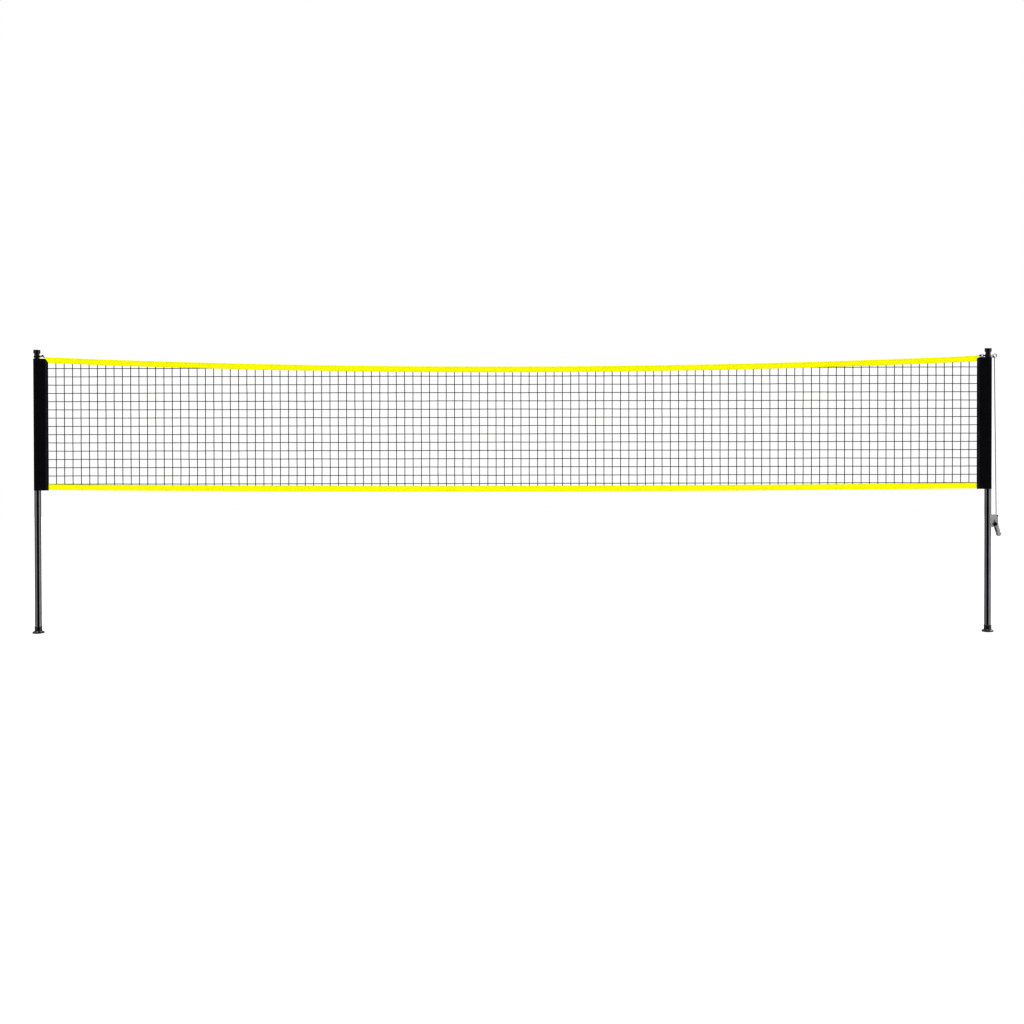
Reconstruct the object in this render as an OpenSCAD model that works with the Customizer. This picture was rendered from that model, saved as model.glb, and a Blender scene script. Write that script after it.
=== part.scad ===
// Volleyball net on two free-standing poles, with a ratchet tensioner on the right pole.
// Millimetres. X runs along the net, Y through it, Z up. The origin is on the floor,
// midway between the poles. Everything on a pole is drawn with the pole's axis at X = 0
// and +X pointing away from the net; the left pole is the mirror image of that.

/* [Poles] */
// Distance between the axes of the two poles
pole_spacing = 8440; // [6000:10:9500]
// Outer diameter of a pole tube
pole_d = 57; // [48:1:70]
// Wall of a pole tube
pole_wall = 2.5; // [1.5:0.1:4]
// Height of the tube's top end above the floor
tube_top = 2430; // [2200:5:2600]

/* [Feet] */
// Diameter of the foot's plate
foot_d = 100; // [90:1:200]
// Thickness of the plate at its rim
foot_rim_t = 13; // [9:0.5:20]
// Overall height of the foot, plate and collar
foot_h = 58; // [45:1:90]
// Wall of the collar round the pole
foot_collar_t = 3; // [2:0.1:6]
// Rubber under the end of the tube
foot_floor_t = 8; // [4:0.5:12]

/* [Caps] */
// Diameter of the neck that the ropes go round
neck_d = 44.5; // [36:0.5:52]
// Length of the neck
neck_h = 46; // [40:1:70]
// Diameter of the head
head_d = 59; // [54:0.5:80]
// Height of the head
head_h = 35; // [26:1:60]
// Thickness of the shoulder that sits on the tube
shoulder_t = 4; // [2:0.5:8]
// Length of the plug inside the tube
plug_h = 60; // [30:1:120]

/* [Sleeves] */
// Height of the sleeve's lower edge
sleeve_bottom = 1268; // [1000:1:1500]
// Height of the sleeve's upper edge
sleeve_top = 2436; // [2200:1:2600]
// From the pole's axis to the sleeve's edge beside the net
sleeve_reach = 98; // [80:1:160]
// Thickness of the sleeve's cloth
sleeve_cloth_t = 1.4; // [0.8:0.1:3]
// Depth of the slot that holds the side of the mesh
sleeve_slot = 24; // [12:1:30]
// Width of the seam between the pocket and the slot
sleeve_seam = 3; // [2:0.5:6]

/* [Mesh] */
// Number of squares along the net
columns = 112; // [40:1:140]
// Number of level twines
rows = 15; // [8:1:20]
// Height of the top level twine
top_row = 2349; // [2200:1:2600]
// Distance between level twines
row_pitch = 73.3; // [50:0.1:120]
// Diameter of a twine
twine_d = 4.4; // [2:0.1:6]

/* [Tapes] */
// Width of a tape, seen from the front
tape_w = 50; // [30:1:80]
// Thickness of a tape's cloth
tape_t = 1.2; // [0.8:0.1:3]
// Height of the top tape's upper edge at the sleeves
top_tape_end = 2449; // [2200:1:2600]
// Sag of the top tape at mid-net
top_sag = 89; // [10:1:150]
// Height of the bottom tape's lower edge at the sleeves
bottom_tape_end = 1272; // [1000:1:1500]
// Sag of the bottom tape at mid-net
bottom_sag = 22; // [5:1:60]
// Diameter of the cord inside each tape
edge_cord_d = 6; // [4:0.5:8]
// How far the top tape's left point lies over the sleeve
left_point = 27; // [10:1:40]
// How far the top tape's right point lies over the sleeve
right_point = 18; // [10:1:20]

/* [Pole top fittings] */
// Height of the fittings above the cap's shoulder
fitting_rise = 16; // [10:0.5:30]
// Outer diameter of the guide ring
ring_d = 42; // [34:1:60]
// Thickness of the guide ring's round bar
ring_bar = 9; // [6:0.5:12]
// Gap between the neck and the guide ring
ring_gap = 14; // [9:1:30]
// Diameter of the ring's hollow stem
stem_d = 12; // [10:0.5:16]
// Diameter of the tension cord
cord_d = 5.2; // [4:0.1:5.6]
// Overall length of the snap hook
hook_l = 34; // [30:1:60]
// Overall width of the snap hook
hook_w = 24; // [22:0.5:40]
// Thickness of the snap hook's round bar
hook_bar = 5; // [3.5:0.1:6]

/* [Tensioner] */
// Height of the drum's axis above the floor
drum_z = 955; // [700:5:1200]
// From the pole's surface to the drum's axis
drum_offset = 28.5; // [27:0.5:40]
// Diameter of the slotted drum
drum_d = 24; // [20:0.5:26]
// Width of the slot through the drum
drum_slot = 3; // [2:0.5:6]
// Thickness of the frame's cheeks and of the handle's sides
plate_t = 3; // [2:0.5:4]
// Clear width between the cheeks
cheek_gap = 33; // [33:1:50]
// Length of the saddle on the pole
saddle_h = 114; // [112:1:160]
// Reach of the cheeks from the drum's axis, away from the pole
cheek_reach = 30; // [28:0.5:32]
// Height of the cheeks above the drum's axis
cheek_rise = 82; // [80:1:100]
// Number of ratchet teeth
teeth = 24; // [12:12:24]
// Diameter over the ratchet teeth
ratchet_d = 44; // [43:0.5:46]
// Height of a ratchet tooth
tooth_h = 3; // [2.5:0.1:3]
// Thickness of a ratchet wheel
ratchet_t = 4; // [3:0.5:6]
// Length of the handle from the drum's axis to the end of its grip
handle_l = 116; // [112:1:180]
// Width of the handle's sides
handle_w = 25; // [24:1:30]
// Lean of the handle away from the pole
handle_lean = 13.5; // [12:0.5:16]
// Direction of the lock pawl from the drum's axis, above the level
lock_angle = 100; // [98:1:104]
// Thickness of both pawl plates
pawl_t = 3; // [2:0.1:3]
// Travel of both pawls out of the teeth
pawl_travel = 5; // [4:0.5:6]
// Diameter of the head that covers each end of the drum
hub_d = 33; // [28:1:36]

/* [Hidden] */

$fn = 64;
// Clearance between cloth or cord and its neighbours, and between pieces seated together
soft_gap = 0.3;
seat_gap = 0.15;
// Radial clearance of a shaft in its bearing
run_gap = 0.1;

pole_r = pole_d / 2;
bore_r = pole_r - pole_wall;
half_span = pole_spacing / 2;
neck_r = neck_d / 2;
twine_r = twine_d / 2;
cord_r = cord_d / 2;
edge_cord_r = edge_cord_d / 2;
neck_z = tube_top + shoulder_t;
fitting_z = neck_z + fitting_rise;
total_h = neck_z + neck_h + head_h;

// The mesh is two layers of twines that cross without touching.
layer_y = twine_r + 0.05;
mesh_half_t = layer_y + twine_r + 0.25;
band_half_t = mesh_half_t + tape_t;
net_edge = half_span - sleeve_reach;
mesh_half = net_edge + twine_r + 0.8;
column_pitch = 2 * mesh_half / columns;
row_end = net_edge + sleeve_slot / 2;
tape_panels = 28;
tape_end = net_edge - soft_gap;

// ---------- small helpers ----------

function unit(v) = v / norm(v);
function polar(r, a) = [r * cos(a), r * sin(a)];
function sag_curve(x, end_z, sag) = end_z - sag * (1 - pow(x / net_edge, 2));
function top_edge(x) = sag_curve(x, top_tape_end, top_sag);
function low_edge(x) = sag_curve(x, bottom_tape_end, bottom_sag);
function steps(from, to, n) = [for (i = [0:n]) from + (to - from) * i / n];

// a round bar between two points
module rod(a, b, r) {
    d = b - a;
    translate(a)
        rotate([0, acos(d.z / norm(d)), atan2(d.y, d.x)])
            cylinder(r = r, h = norm(d));
}

function tangent(p, i) = unit(p[min(i + 1, len(p) - 1)] - p[max(i - 1, 0)]);
function across(v, t) = unit(v - (v * t) * t);
function carried_normals(p, start) = [
    for (i = 0, n = across(start, tangent(p, 0));
         i < len(p);
         i = i + 1, n = i < len(p) ? across(n, tangent(p, i)) : n)
        n
];

// a tube swept along points, its section carried along without twist
module sweep_tube(p, r, sides = 8, start = [0, 1, 0]) {
    normals = carried_normals(p, start);
    last = (len(p) - 1) * sides;
    rings = [
        for (i = [0:len(p) - 1], k = [0:sides - 1])
            let (a = 360 * k / sides, t = tangent(p, i))
                p[i] + r * (cos(a) * normals[i] + sin(a) * cross(t, normals[i]))
    ];
    walls = [
        for (i = [0:len(p) - 2], k = [0:sides - 1])
            let (a = i * sides + k, b = i * sides + (k + 1) % sides)
                each [[a, a + sides, b + sides], [a, b + sides, b]]
    ];
    ends = [[for (k = [0:sides - 1]) k], [for (k = [sides - 1:-1:0]) last + k]];
    polyhedron(rings, concat(walls, ends), convexity = 6);
}

module on_right_pole() {
    translate([half_span, 0, 0]) children();
}

module on_left_pole() {
    mirror([1, 0, 0]) on_right_pole() children();
}

// draws a profile in the XZ plane, Y from y0 to y1
module slab_y(y0, y1) {
    translate([0, y1, 0]) rotate([90, 0, 0]) linear_extrude(y1 - y0) children();
}

module both_sides() {
    children();
    mirror([0, 1, 0]) children();
}

module pin_y(x, z, r, y0, y1) {
    translate([x, y1, z]) rotate([90, 0, 0]) cylinder(r = r, h = y1 - y0);
}

// ---------- poles, feet and caps ----------

module pole_tube() {
    translate([0, 0, foot_floor_t])
        difference() {
            cylinder(r = pole_r, h = tube_top - foot_floor_t);
            translate([0, 0, -1]) cylinder(r = bore_r, h = tube_top);
        }
}

foot_r = foot_d / 2;
collar_r = pole_r + foot_collar_t;
foot_flare_r = 9;
foot_bead_r = 2;
foot_edge_r = 4;

function arc(cx, cy, r, from, to, n = 8) = [for (a = steps(from, to, n)) [cx, cy] + polar(r, a)];

// half section: plate with a rounded rim, flare into the collar, bead at the mouth
module foot_section() {
    polygon(concat(
        [[0, 0], [foot_r - 2, 0], [foot_r, 2]],
        arc(foot_r - foot_edge_r, foot_rim_t - foot_edge_r, foot_edge_r, 0, 80),
        arc(collar_r + foot_flare_r, foot_rim_t + foot_flare_r + 2, foot_flare_r, 260, 180),
        [[collar_r, foot_h - 3 * foot_bead_r]],
        arc(collar_r, foot_h - foot_bead_r, foot_bead_r, -90, 90),
        [[pole_r + seat_gap, foot_h], [pole_r + seat_gap, foot_floor_t], [0, foot_floor_t]]));
}

module foot() {
    rotate_extrude() foot_section();
}

head_edge_r = 5;
head_flare_h = head_h * 0.15;

// half section: hollow plug, shoulder on the tube, neck, head that flares out of the neck
module cap_section() {
    head_r = head_d / 2;
    head_z = neck_z + neck_h;
    plug_r = bore_r - seat_gap;
    plug_wall = 3;
    polygon(concat(
        [[0, tube_top], [plug_r - plug_wall, tube_top], [plug_r - plug_wall, tube_top - plug_h],
         [plug_r - 1, tube_top - plug_h], [plug_r, tube_top - plug_h + 3], [plug_r, tube_top],
         [pole_r, tube_top], [pole_r, neck_z - 1], [pole_r - 1, neck_z]],
        [[neck_r, neck_z], [neck_r, head_z]],
        [for (a = steps(0, 90, 8))
            [neck_r + (head_r - neck_r) * (1 - cos(a)), head_z + head_flare_h * sin(a)]],
        arc(head_r - head_edge_r, total_h - head_edge_r, head_edge_r, 0, 90),
        [[0, total_h]]));
}

module cap_body() {
    rotate_extrude() cap_section();
}

module right_cap_body() {
    difference() {
        cap_body();
        rod([-neck_d, 0, fitting_z], [neck_d, 0, fitting_z], stem_d / 2 + seat_gap);
    }
}

// ---------- sleeves ----------

pocket_end = sleeve_reach - sleeve_slot - sleeve_seam;

function touch_angle(x, h, r) = atan2(h, x) + acos(r / norm([x, h]));

// an arc round the pole whose tangents close in to half height h at x, and run level to x_end
module pocket_outline(r, x, h, x_end) {
    a = touch_angle(x, h, r);
    polygon(concat(arc(0, 0, r, a, 360 - a, 40), [[x, -h], [x_end, -h], [x_end, h], [x, h]]));
}

// the net lies on the -X side of the pole here
module sleeve() {
    inner_r = pole_r + soft_gap;
    translate([0, 0, sleeve_bottom])
        mirror([1, 0, 0])
            linear_extrude(sleeve_top - sleeve_bottom)
                difference() {
                    pocket_outline(inner_r + sleeve_cloth_t, pocket_end, band_half_t, sleeve_reach);
                    pocket_outline(inner_r, pocket_end - 1, mesh_half_t, pocket_end);
                    translate([sleeve_reach - sleeve_slot, -mesh_half_t])
                        square([sleeve_slot + 1, 2 * mesh_half_t]);
                }
}

// ---------- mesh, tapes and edge cords ----------

cord_inset = tape_t + soft_gap + edge_cord_r;
twine_inset = cord_inset + edge_cord_r + soft_gap;

module vertical_twines() {
    color("black")
        for (i = [0:columns]) {
            x = -mesh_half + i * column_pitch;
            edge_x = min(abs(x), net_edge);
            rod([x, -layer_y, low_edge(edge_x) + twine_inset],
                [x, -layer_y, top_edge(edge_x) - twine_inset], twine_r);
        }
}

module level_twines() {
    color("black")
        for (i = [0:rows - 1])
            rod([-row_end, layer_y, top_row - i * row_pitch],
                [row_end, layer_y, top_row - i * row_pitch], twine_r);
}

// a cloth folded over an edge: open away from the edge, hollow for cord and mesh
module folded_tape(outer, hollow) {
    difference() {
        slab_y(-band_half_t, band_half_t) polygon(outer);
        slab_y(-mesh_half_t, mesh_half_t) polygon(hollow);
    }
}

tape_stations = steps(-tape_end, tape_end, tape_panels);
left_tip = -(net_edge + left_point);
right_tip = net_edge + right_point;
tip_drop = 9.5;
over_sleeve = sleeve_top + soft_gap;
// the fold is slit open near its right tip, where the head cord climbs out
slit_x = right_tip - 14;

module top_tape() {
    color("yellow")
        folded_tape(
            concat(
                [[left_tip, top_edge(left_tip)]],
                [for (x = tape_stations) [x, top_edge(x)]],
                [[right_tip, top_edge(right_tip)], [right_tip, top_edge(right_tip) - tip_drop],
                 [tape_end, over_sleeve]],
                [for (i = [tape_panels:-1:0])
                    [tape_stations[i], top_edge(tape_stations[i]) - tape_w]],
                [[-tape_end, over_sleeve], [left_tip, top_edge(left_tip) - tip_drop]]),
            concat(
                [[left_tip - 1, top_edge(left_tip) - tape_t]],
                [for (x = tape_stations) [x, top_edge(x) - tape_t]],
                [[slit_x, top_edge(slit_x) - tape_t], [slit_x, top_edge(slit_x) + tape_t],
                 [right_tip + 1, top_edge(slit_x) + tape_t],
                 [right_tip + 1, sleeve_top - 2 * tape_w], [0, top_edge(0) - 3 * tape_w],
                 [left_tip - 1, sleeve_top - 2 * tape_w]]));
}

module bottom_tape() {
    color("yellow")
        folded_tape(
            concat(
                [for (x = tape_stations) [x, low_edge(x)]],
                [for (i = [tape_panels:-1:0])
                    [tape_stations[i], low_edge(tape_stations[i]) + tape_w]]),
            concat(
                [[-tape_end - 1, low_edge(tape_end) + tape_t]],
                [for (x = tape_stations) [x, low_edge(x) + tape_t]],
                [[tape_end + 1, low_edge(tape_end) + tape_t],
                 [tape_end + 1, low_edge(tape_end) + 2 * tape_w],
                 [-tape_end - 1, low_edge(tape_end) + 2 * tape_w]]));
}

// the head cord runs in the top tape from the knot on the left to an eye in the snap hook
function head_point(x) = [x, 0, top_edge(x) - cord_inset];

module head_cord() {
    left_end = knot_point + (knot_r + soft_gap) * unit(head_point(left_tip) - knot_point);
    right_end = [half_span - hook_far_eye - eye_r, 0, fitting_z];
    color("black")
        union() {
            sweep_tube(
                concat([left_end], [for (x = concat([left_tip], tape_stations)) head_point(x)],
                    [head_point(right_tip - 4), right_end]), edge_cord_r);
            translate([half_span - hook_far_eye, 0, fitting_z]) cord_eye(edge_cord_r);
        }
}

module foot_cord() {
    ends = net_edge + sleeve_slot / 2;
    color("black")
        sweep_tube(
            [for (x = concat([-ends], tape_stations, [ends]))
                [x, 0, low_edge(min(abs(x), net_edge)) + cord_inset]], edge_cord_r);
}

// ---------- left lashing ----------

knot_r = 8;
knot_reach = 52;
knot_rise = 14;
knot_point = [-half_span + knot_reach, 0, fitting_z + knot_rise];

// a loop round the neck whose two legs meet in a knot, with a short tail
module left_lashing() {
    rope_r = edge_cord_r;
    loop_r = neck_r + soft_gap + rope_r;
    loop_z = fitting_z + 4;
    knot = [-knot_reach, 0, fitting_z + knot_rise];
    color("black")
        on_left_pole()
            union() {
                translate([0, 0, loop_z])
                    rotate_extrude() translate([loop_r, 0]) circle(r = rope_r);
                both_sides() {
                    rod([-loop_r * 0.6, loop_r * 0.8, loop_z], knot, rope_r - 0.4);
                    rod(knot, knot + [3, 10, -11], rope_r - 0.2);
                }
                translate(knot) sphere(r = knot_r);
            }
}

// ---------- guide ring and snap hook ----------

ring_r = (ring_d - ring_bar) / 2;
ring_x = neck_r + ring_gap + ring_d / 2;
ring_centre = [ring_x, 0, fitting_z];
stem_bore_r = cord_r + 0.7;
nut_t = 5;
nut_across = 19;
stem_in = neck_r + nut_t + 1;
stem_out = ring_x - ring_r + ring_bar / 2 - 0.5;
mouth_l = 5;

// a ring on a hollow threaded stem; the stem's bore leads the cord through the neck
module guide_ring() {
    color("silver")
        on_right_pole()
            difference() {
                union() {
                    translate(ring_centre)
                        rotate([90, 0, 0])
                            rotate_extrude() translate([ring_r, 0]) circle(d = ring_bar);
                    rod([-stem_in, 0, fitting_z], [stem_out, 0, fitting_z], stem_d / 2);
                    rod([neck_r + 0.2, 0, fitting_z], [neck_r + 4, 0, fitting_z], stem_d * 0.8);
                }
                rod([-stem_in - 1, 0, fitting_z], [ring_x, 0, fitting_z], stem_bore_r);
                translate([stem_out - mouth_l + 1, 0, fitting_z])
                    rotate([0, 90, 0])
                        cylinder(r1 = stem_bore_r, r2 = stem_bore_r + 3, h = mouth_l);
            }
}

module guide_ring_nut() {
    color("silver")
        on_right_pole()
            translate([-neck_r - 0.2, 0, fitting_z])
                rotate([0, -90, 0])
                    difference() {
                        cylinder(d = nut_across / cos(30), h = nut_t, $fn = 6);
                        translate([0, 0, -1])
                            cylinder(r = stem_d / 2 + seat_gap, h = nut_t + 2);
                    }
}

// cord eyes lie level and hold the upright hook at each end
eye_r = 6.8;
hook_clear = 3.5;
hook_x = stem_in + hook_clear + 2 * cord_r + soft_gap + hook_l / 2;
hook_bend_r = (hook_w - hook_bar) / 2;
hook_straight = hook_l - hook_w;
hook_near_eye = hook_x - hook_l / 2 + hook_bar + soft_gap + cord_r - eye_r;
hook_far_eye = hook_x + hook_l / 2 - hook_bar - soft_gap - edge_cord_r + eye_r;

module cord_eye(r) {
    rotate_extrude() translate([eye_r, 0]) circle(r = r);
}

gate_r = hook_bar / 2 - 0.3;
gate_gap = 0.3;
gate_pin_r = 0.9;
gate_end = hook_straight / 2;

module hook_half_bend() {
    rotate([90, 0, 0])
        rotate_extrude(angle = 180) translate([hook_bend_r, 0]) circle(d = hook_bar);
}

// an oval hook whose upper straight is the gate
module snap_hook() {
    color("dimgray")
        on_right_pole()
            translate([-hook_x, 0, fitting_z])
                difference() {
                    union() {
                        translate([hook_straight / 2, 0, 0]) rotate([0, 90, 0]) hook_half_bend();
                        translate([-hook_straight / 2, 0, 0]) rotate([0, -90, 0]) hook_half_bend();
                        rod([-hook_straight / 2, 0, -hook_bend_r],
                            [hook_straight / 2, 0, -hook_bend_r], hook_bar / 2);
                        gate_fork();
                    }
                    gate_fork_slot();
                    pin_y(gate_end, hook_bend_r, gate_pin_r + 0.05, -hook_bar, hook_bar);
                }
}

// round cheeks, so that the gate's bar clears them as it turns
module gate_fork() {
    pin_y(gate_end, hook_bend_r, hook_bar / 2, -hook_bar / 2, hook_bar / 2);
}

module gate_fork_slot() {
    translate([gate_end - 4, -gate_tongue / 2 - gate_gap, hook_bend_r - hook_bar])
        cube([4 + gate_tongue_reach, gate_tongue + 2 * gate_gap, 2 * hook_bar]);
}

gate_tongue = 1.8;
gate_tongue_reach = 2.2;

module snap_gate() {
    color("silver")
        on_right_pole()
            translate([-hook_x, 0, fitting_z])
                difference() {
                    union() {
                        rod([-gate_end + gate_gap, 0, hook_bend_r],
                            [gate_end - 3, 0, hook_bend_r], gate_r);
                        translate([gate_end - 3.2, -gate_tongue / 2, hook_bend_r - 1.5])
                            cube([3.2, gate_tongue, 3]);
                        pin_y(gate_end, hook_bend_r, 1.5, -gate_tongue / 2, gate_tongue / 2);
                    }
                    pin_y(gate_end, hook_bend_r, gate_pin_r + 0.1, -hook_bar, hook_bar);
                }
}

module snap_gate_pin() {
    color("silver")
        on_right_pole()
            translate([-hook_x, 0, fitting_z])
                pin_y(gate_end, hook_bend_r, gate_pin_r, -hook_bar / 2, hook_bar / 2);
}

// ---------- tension cord ----------

drum_x = pole_r + drum_offset;
drum_r = drum_d / 2;
wrap_r = drum_r + soft_gap + cord_r;
wrap_y = -8.7;
wrap_turn = 200;
hitch_r = ring_bar / 2 + soft_gap + cord_r;

// one round turn on the ring's lower left, from the stem's mouth to the front
hitch_start = 183;
hitch_span = 67;
hitch_steps = 26;

function hitch_point(f) =
    let (wind = 180 + 450 * f, at = hitch_start + hitch_span * sqrt(f),
         reach = ring_r + hitch_r * cos(wind))
        ring_centre + [reach * cos(at), hitch_r * sin(wind), reach * sin(at)];

function wrap_point(a) = [drum_x + wrap_r * cos(a), wrap_y, drum_z + wrap_r * sin(a)];

tension_route = concat(
    [[-hook_near_eye + eye_r, 0, fitting_z], [stem_out, 0, fitting_z]],
    [for (i = [1:hitch_steps]) hitch_point(i / hitch_steps)],
    [hitch_point(1) + [0.2, -1, -5], hitch_point(1) + [0.8, wrap_y + hitch_r, -14]],
    [for (a = steps(0, -wrap_turn, 16)) wrap_point(a)]);

module tension_cord() {
    color("dimgray")
        on_right_pole()
            union() {
                sweep_tube(tension_route, cord_r);
                translate([-hook_near_eye, 0, fitting_z]) cord_eye(cord_r);
            }
}

wound_turns = 2;
wound_pitch = cord_d + 0.6;
wound_steps = 18;

// the turns that are already on the drum, and turn with it
module wound_cord() {
    first_y = wrap_y + cord_d + soft_gap + wound_pitch / 8;
    color("dimgray")
        on_right_pole()
            sweep_tube(
                [for (i = [0:wound_turns * wound_steps])
                    let (turn = i / wound_steps)
                        wrap_point(-360 * turn) + [0, first_y - wrap_y + wound_pitch * turn, 0]],
                cord_r);
}

// ---------- tensioner ----------

cheek_y = cheek_gap / 2;
wheel_y = cheek_y + plate_t + 0.5;
side_y = wheel_y + ratchet_t + 0.5;
hub_y = side_y + plate_t + 0.4;
hub_t = 4;
saddle_z = drum_z - 29;
saddle_r = pole_r + seat_gap;
saddle_t = 3;
ratchet_r = ratchet_d / 2;
root_r = ratchet_r - tooth_h;
drive_angle = lock_angle - 165;
drum_seat_r = drum_r + run_gap;
frame_top = drum_z + cheek_rise;

// turns +X to the direction a, above the level, from the drum's axis
module from_drum(a) {
    translate([drum_x, 0, drum_z]) rotate([0, -a, 0]) children();
}

// a point at radius r in the direction a from the drum's axis
function off_drum(r, a) = [drum_x + r * cos(a), drum_z + r * sin(a)];

corner_r = 9;

module cheek_outline() {
    difference() {
        union() {
            polygon([[pole_r, saddle_z], [drum_x - 13, saddle_z + 6], off_drum(hub_d / 2 + 1, 235),
                off_drum(hub_d / 2 + 1, 270), [drum_x + cheek_reach - 8, drum_z - 12],
                [drum_x + cheek_reach, drum_z - 4], [drum_x + cheek_reach, frame_top - corner_r],
                [drum_x + cheek_reach - corner_r, frame_top], [pole_r, frame_top]]);
            translate([drum_x + cheek_reach - corner_r, frame_top - corner_r]) circle(r = corner_r);
            translate([drum_x, drum_z]) circle(r = hub_d / 2 + 1.5);
            translate([0, saddle_z]) square([pole_r, saddle_h]);
        }
        translate([drum_x, drum_z]) circle(r = drum_seat_r);
        cheek_slot();
        translate(off_drum(seat_pin_at, lock_angle)) circle(r = seat_pin_r + seat_gap);
        translate(guide_pin_at) circle(r = guide_pin_r - 1.5 + seat_gap);
        translate(off_drum(stop_pin_at, stop_pin_angle)) circle(r = stop_pin_r + seat_gap);
    }
}

pawl_gap = 0.3;
ear_from = ratchet_r + 2;
ear_to = ratchet_r + 13;

// the lock pawl's ears slide in this slot
module cheek_slot() {
    slot_from = ear_from - 1;
    slot_to = ear_to + pawl_travel + 0.5;
    half = pawl_t / 2 + pawl_gap;
    translate([drum_x, drum_z])
        rotate(lock_angle)
            translate([slot_from, -half]) square([slot_to - slot_from, 2 * half]);
}

module saddle_shell() {
    difference() {
        translate([0, 0, saddle_z]) cylinder(r = saddle_r + saddle_t, h = saddle_h);
        translate([0, 0, saddle_z - 1]) cylinder(r = saddle_r, h = saddle_h + 2);
        translate([-2 * pole_d + pole_r * 0.4, -pole_d, saddle_z - 1])
            cube([2 * pole_d, 2 * pole_d, saddle_h + 2]);
        rivets(rivet_r + seat_gap, 0);
    }
}

// a saddle round the pole's outer side and two cheeks, pressed from one plate
module tensioner_frame() {
    color("gray")
        on_right_pole()
            union() {
                saddle_shell();
                difference() {
                    both_sides() slab_y(cheek_y, cheek_y + plate_t) cheek_outline();
                    translate([0, 0, saddle_z - 1]) cylinder(r = saddle_r, h = saddle_h + 2);
                }
            }
}

rivet_r = 2.4;
rivet_head_r = 4.5;
rivet_angle = 52;

// radial rivets in the saddle's flanges; grow > 0 adds the heads
module rivets(r, grow) {
    for (z = [saddle_z + 14, saddle_z + saddle_h - 14], a = [-rivet_angle, rivet_angle])
        translate([0, 0, z])
            rotate([0, 0, a])
                rotate([0, 90, 0]) {
                    translate([0, 0, bore_r - 4]) cylinder(r = r, h = pole_wall + saddle_t + 5);
                    if (grow > 0) {
                        translate([0, 0, saddle_r + saddle_t + 0.1])
                            cylinder(r1 = rivet_head_r, r2 = rivet_head_r - 1.2, h = 1.6);
                        translate([0, 0, bore_r - 5]) cylinder(r = rivet_head_r - 1, h = 4.5);
                    }
                }
}

module tensioner_rivets() {
    color("silver") on_right_pole() rivets(rivet_r, 1);
}

// the handle's heel rests on this pin, just outside the ratchet wheel
stop_pin_r = 2.5;
stop_pin_at = ratchet_r + stop_pin_r + 1;
stop_pin_angle = 196;

module handle_stop_pin() {
    at = off_drum(stop_pin_at, stop_pin_angle);
    color("silver")
        on_right_pole()
            both_sides() pin_y(at.x, at.y, stop_pin_r, cheek_y - 1, side_y + plate_t);
}

guide_pin_r = 5;
guide_pin_rise = 75;
function straight_cord_x(z) =
    let (top = tension_route[hitch_steps + 3])
        drum_x + wrap_r + (top.x - drum_x - wrap_r) * (z - drum_z) / (top.z - drum_z);
guide_pin_at = [
    straight_cord_x(drum_z + guide_pin_rise) + cord_r + soft_gap + guide_pin_r,
    drum_z + guide_pin_rise];

// a stepped pin with a round head outside each cheek; the cord runs on its middle
module cord_guide_pin() {
    neck = guide_pin_r - 1.5;
    out = cheek_y + plate_t;
    color("black")
        on_right_pole()
            union() {
                pin_y(guide_pin_at.x, guide_pin_at.y, guide_pin_r, -cheek_y + 0.2, cheek_y - 0.2);
                pin_y(guide_pin_at.x, guide_pin_at.y, neck, -out - 1, out + 1);
                both_sides() pin_y(guide_pin_at.x, guide_pin_at.y, guide_pin_r, out + 0.2, out + 1.6);
            }
}

seat_pin_r = 4;
seat_pin_at = 66;

module lock_spring_seat() {
    at = off_drum(seat_pin_at, lock_angle);
    color("silver")
        on_right_pole() pin_y(at.x, at.y, seat_pin_r, -cheek_y - plate_t - 0.8, cheek_y + plate_t + 0.8);
}

// the end of a pawl in a tooth gap: square to the steep face, sloped along the other
module pawl_point() {
    tip = root_r + 0.4;
    out = ratchet_r + 0.3;
    polygon([[tip, -0.3], [out, -0.85], [out + 0.4, -pawl_t / 2], [ear_from, -pawl_t / 2],
        [ear_from, pawl_t / 2], [out, pawl_t / 2 + 0.3], [tip, 0.3]]);
}

lock_back = ear_to + 13;

// a plate that slides between the cheeks, with an ear out through each to its wheel
module lock_pawl() {
    middle = cheek_y - 0.4;
    color("gray")
        on_right_pole()
            from_drum(lock_angle)
                union() {
                    translate([ear_from, -middle, -pawl_t / 2])
                        cube([lock_back - ear_from, 2 * middle, pawl_t]);
                    translate([ear_from, -wheel_y - ratchet_t, -pawl_t / 2])
                        cube([ear_to - ear_from, 2 * (wheel_y + ratchet_t), pawl_t]);
                    both_sides()
                        slab_y(wheel_y, wheel_y + ratchet_t) pawl_point();
                }
}

spring_wire_r = 0.6;
spring_r = 3;

// a coil spring along +X from x0 to x1
module coil_spring(x0, x1, turns) {
    per_turn = 10;
    sweep_tube(
        [for (i = [0:turns * per_turn])
            let (a = 360 * i / per_turn)
                [x0 + spring_wire_r + (x1 - x0 - 2 * spring_wire_r) * i / (turns * per_turn),
                 spring_r * cos(a), spring_r * sin(a)]],
        spring_wire_r, 6, [1, 0, 0]);
}

module lock_pawl_spring() {
    color("silver")
        on_right_pole()
            from_drum(lock_angle)
                coil_spring(lock_back + 0.2, seat_pin_at - seat_pin_r - 0.2, 5);
}

// two half-round bars with the cord's slot between them, running through both cheeks
module drum_halves() {
    end = hub_y + hub_t - 1;
    color("dimgray")
        on_right_pole()
            from_drum(0)
                for (side = [-1, 1])
                    intersection() {
                        rotate([90, 0, 0]) cylinder(r = drum_r, h = 2 * end, center = true);
                        translate([-drum_d, -2 * end, side > 0 ? drum_slot / 2 : -drum_slot / 2 - drum_d])
                            cube([2 * drum_d, 4 * end, drum_d]);
                    }
}

tooth_pitch = 360 / teeth;

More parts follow.
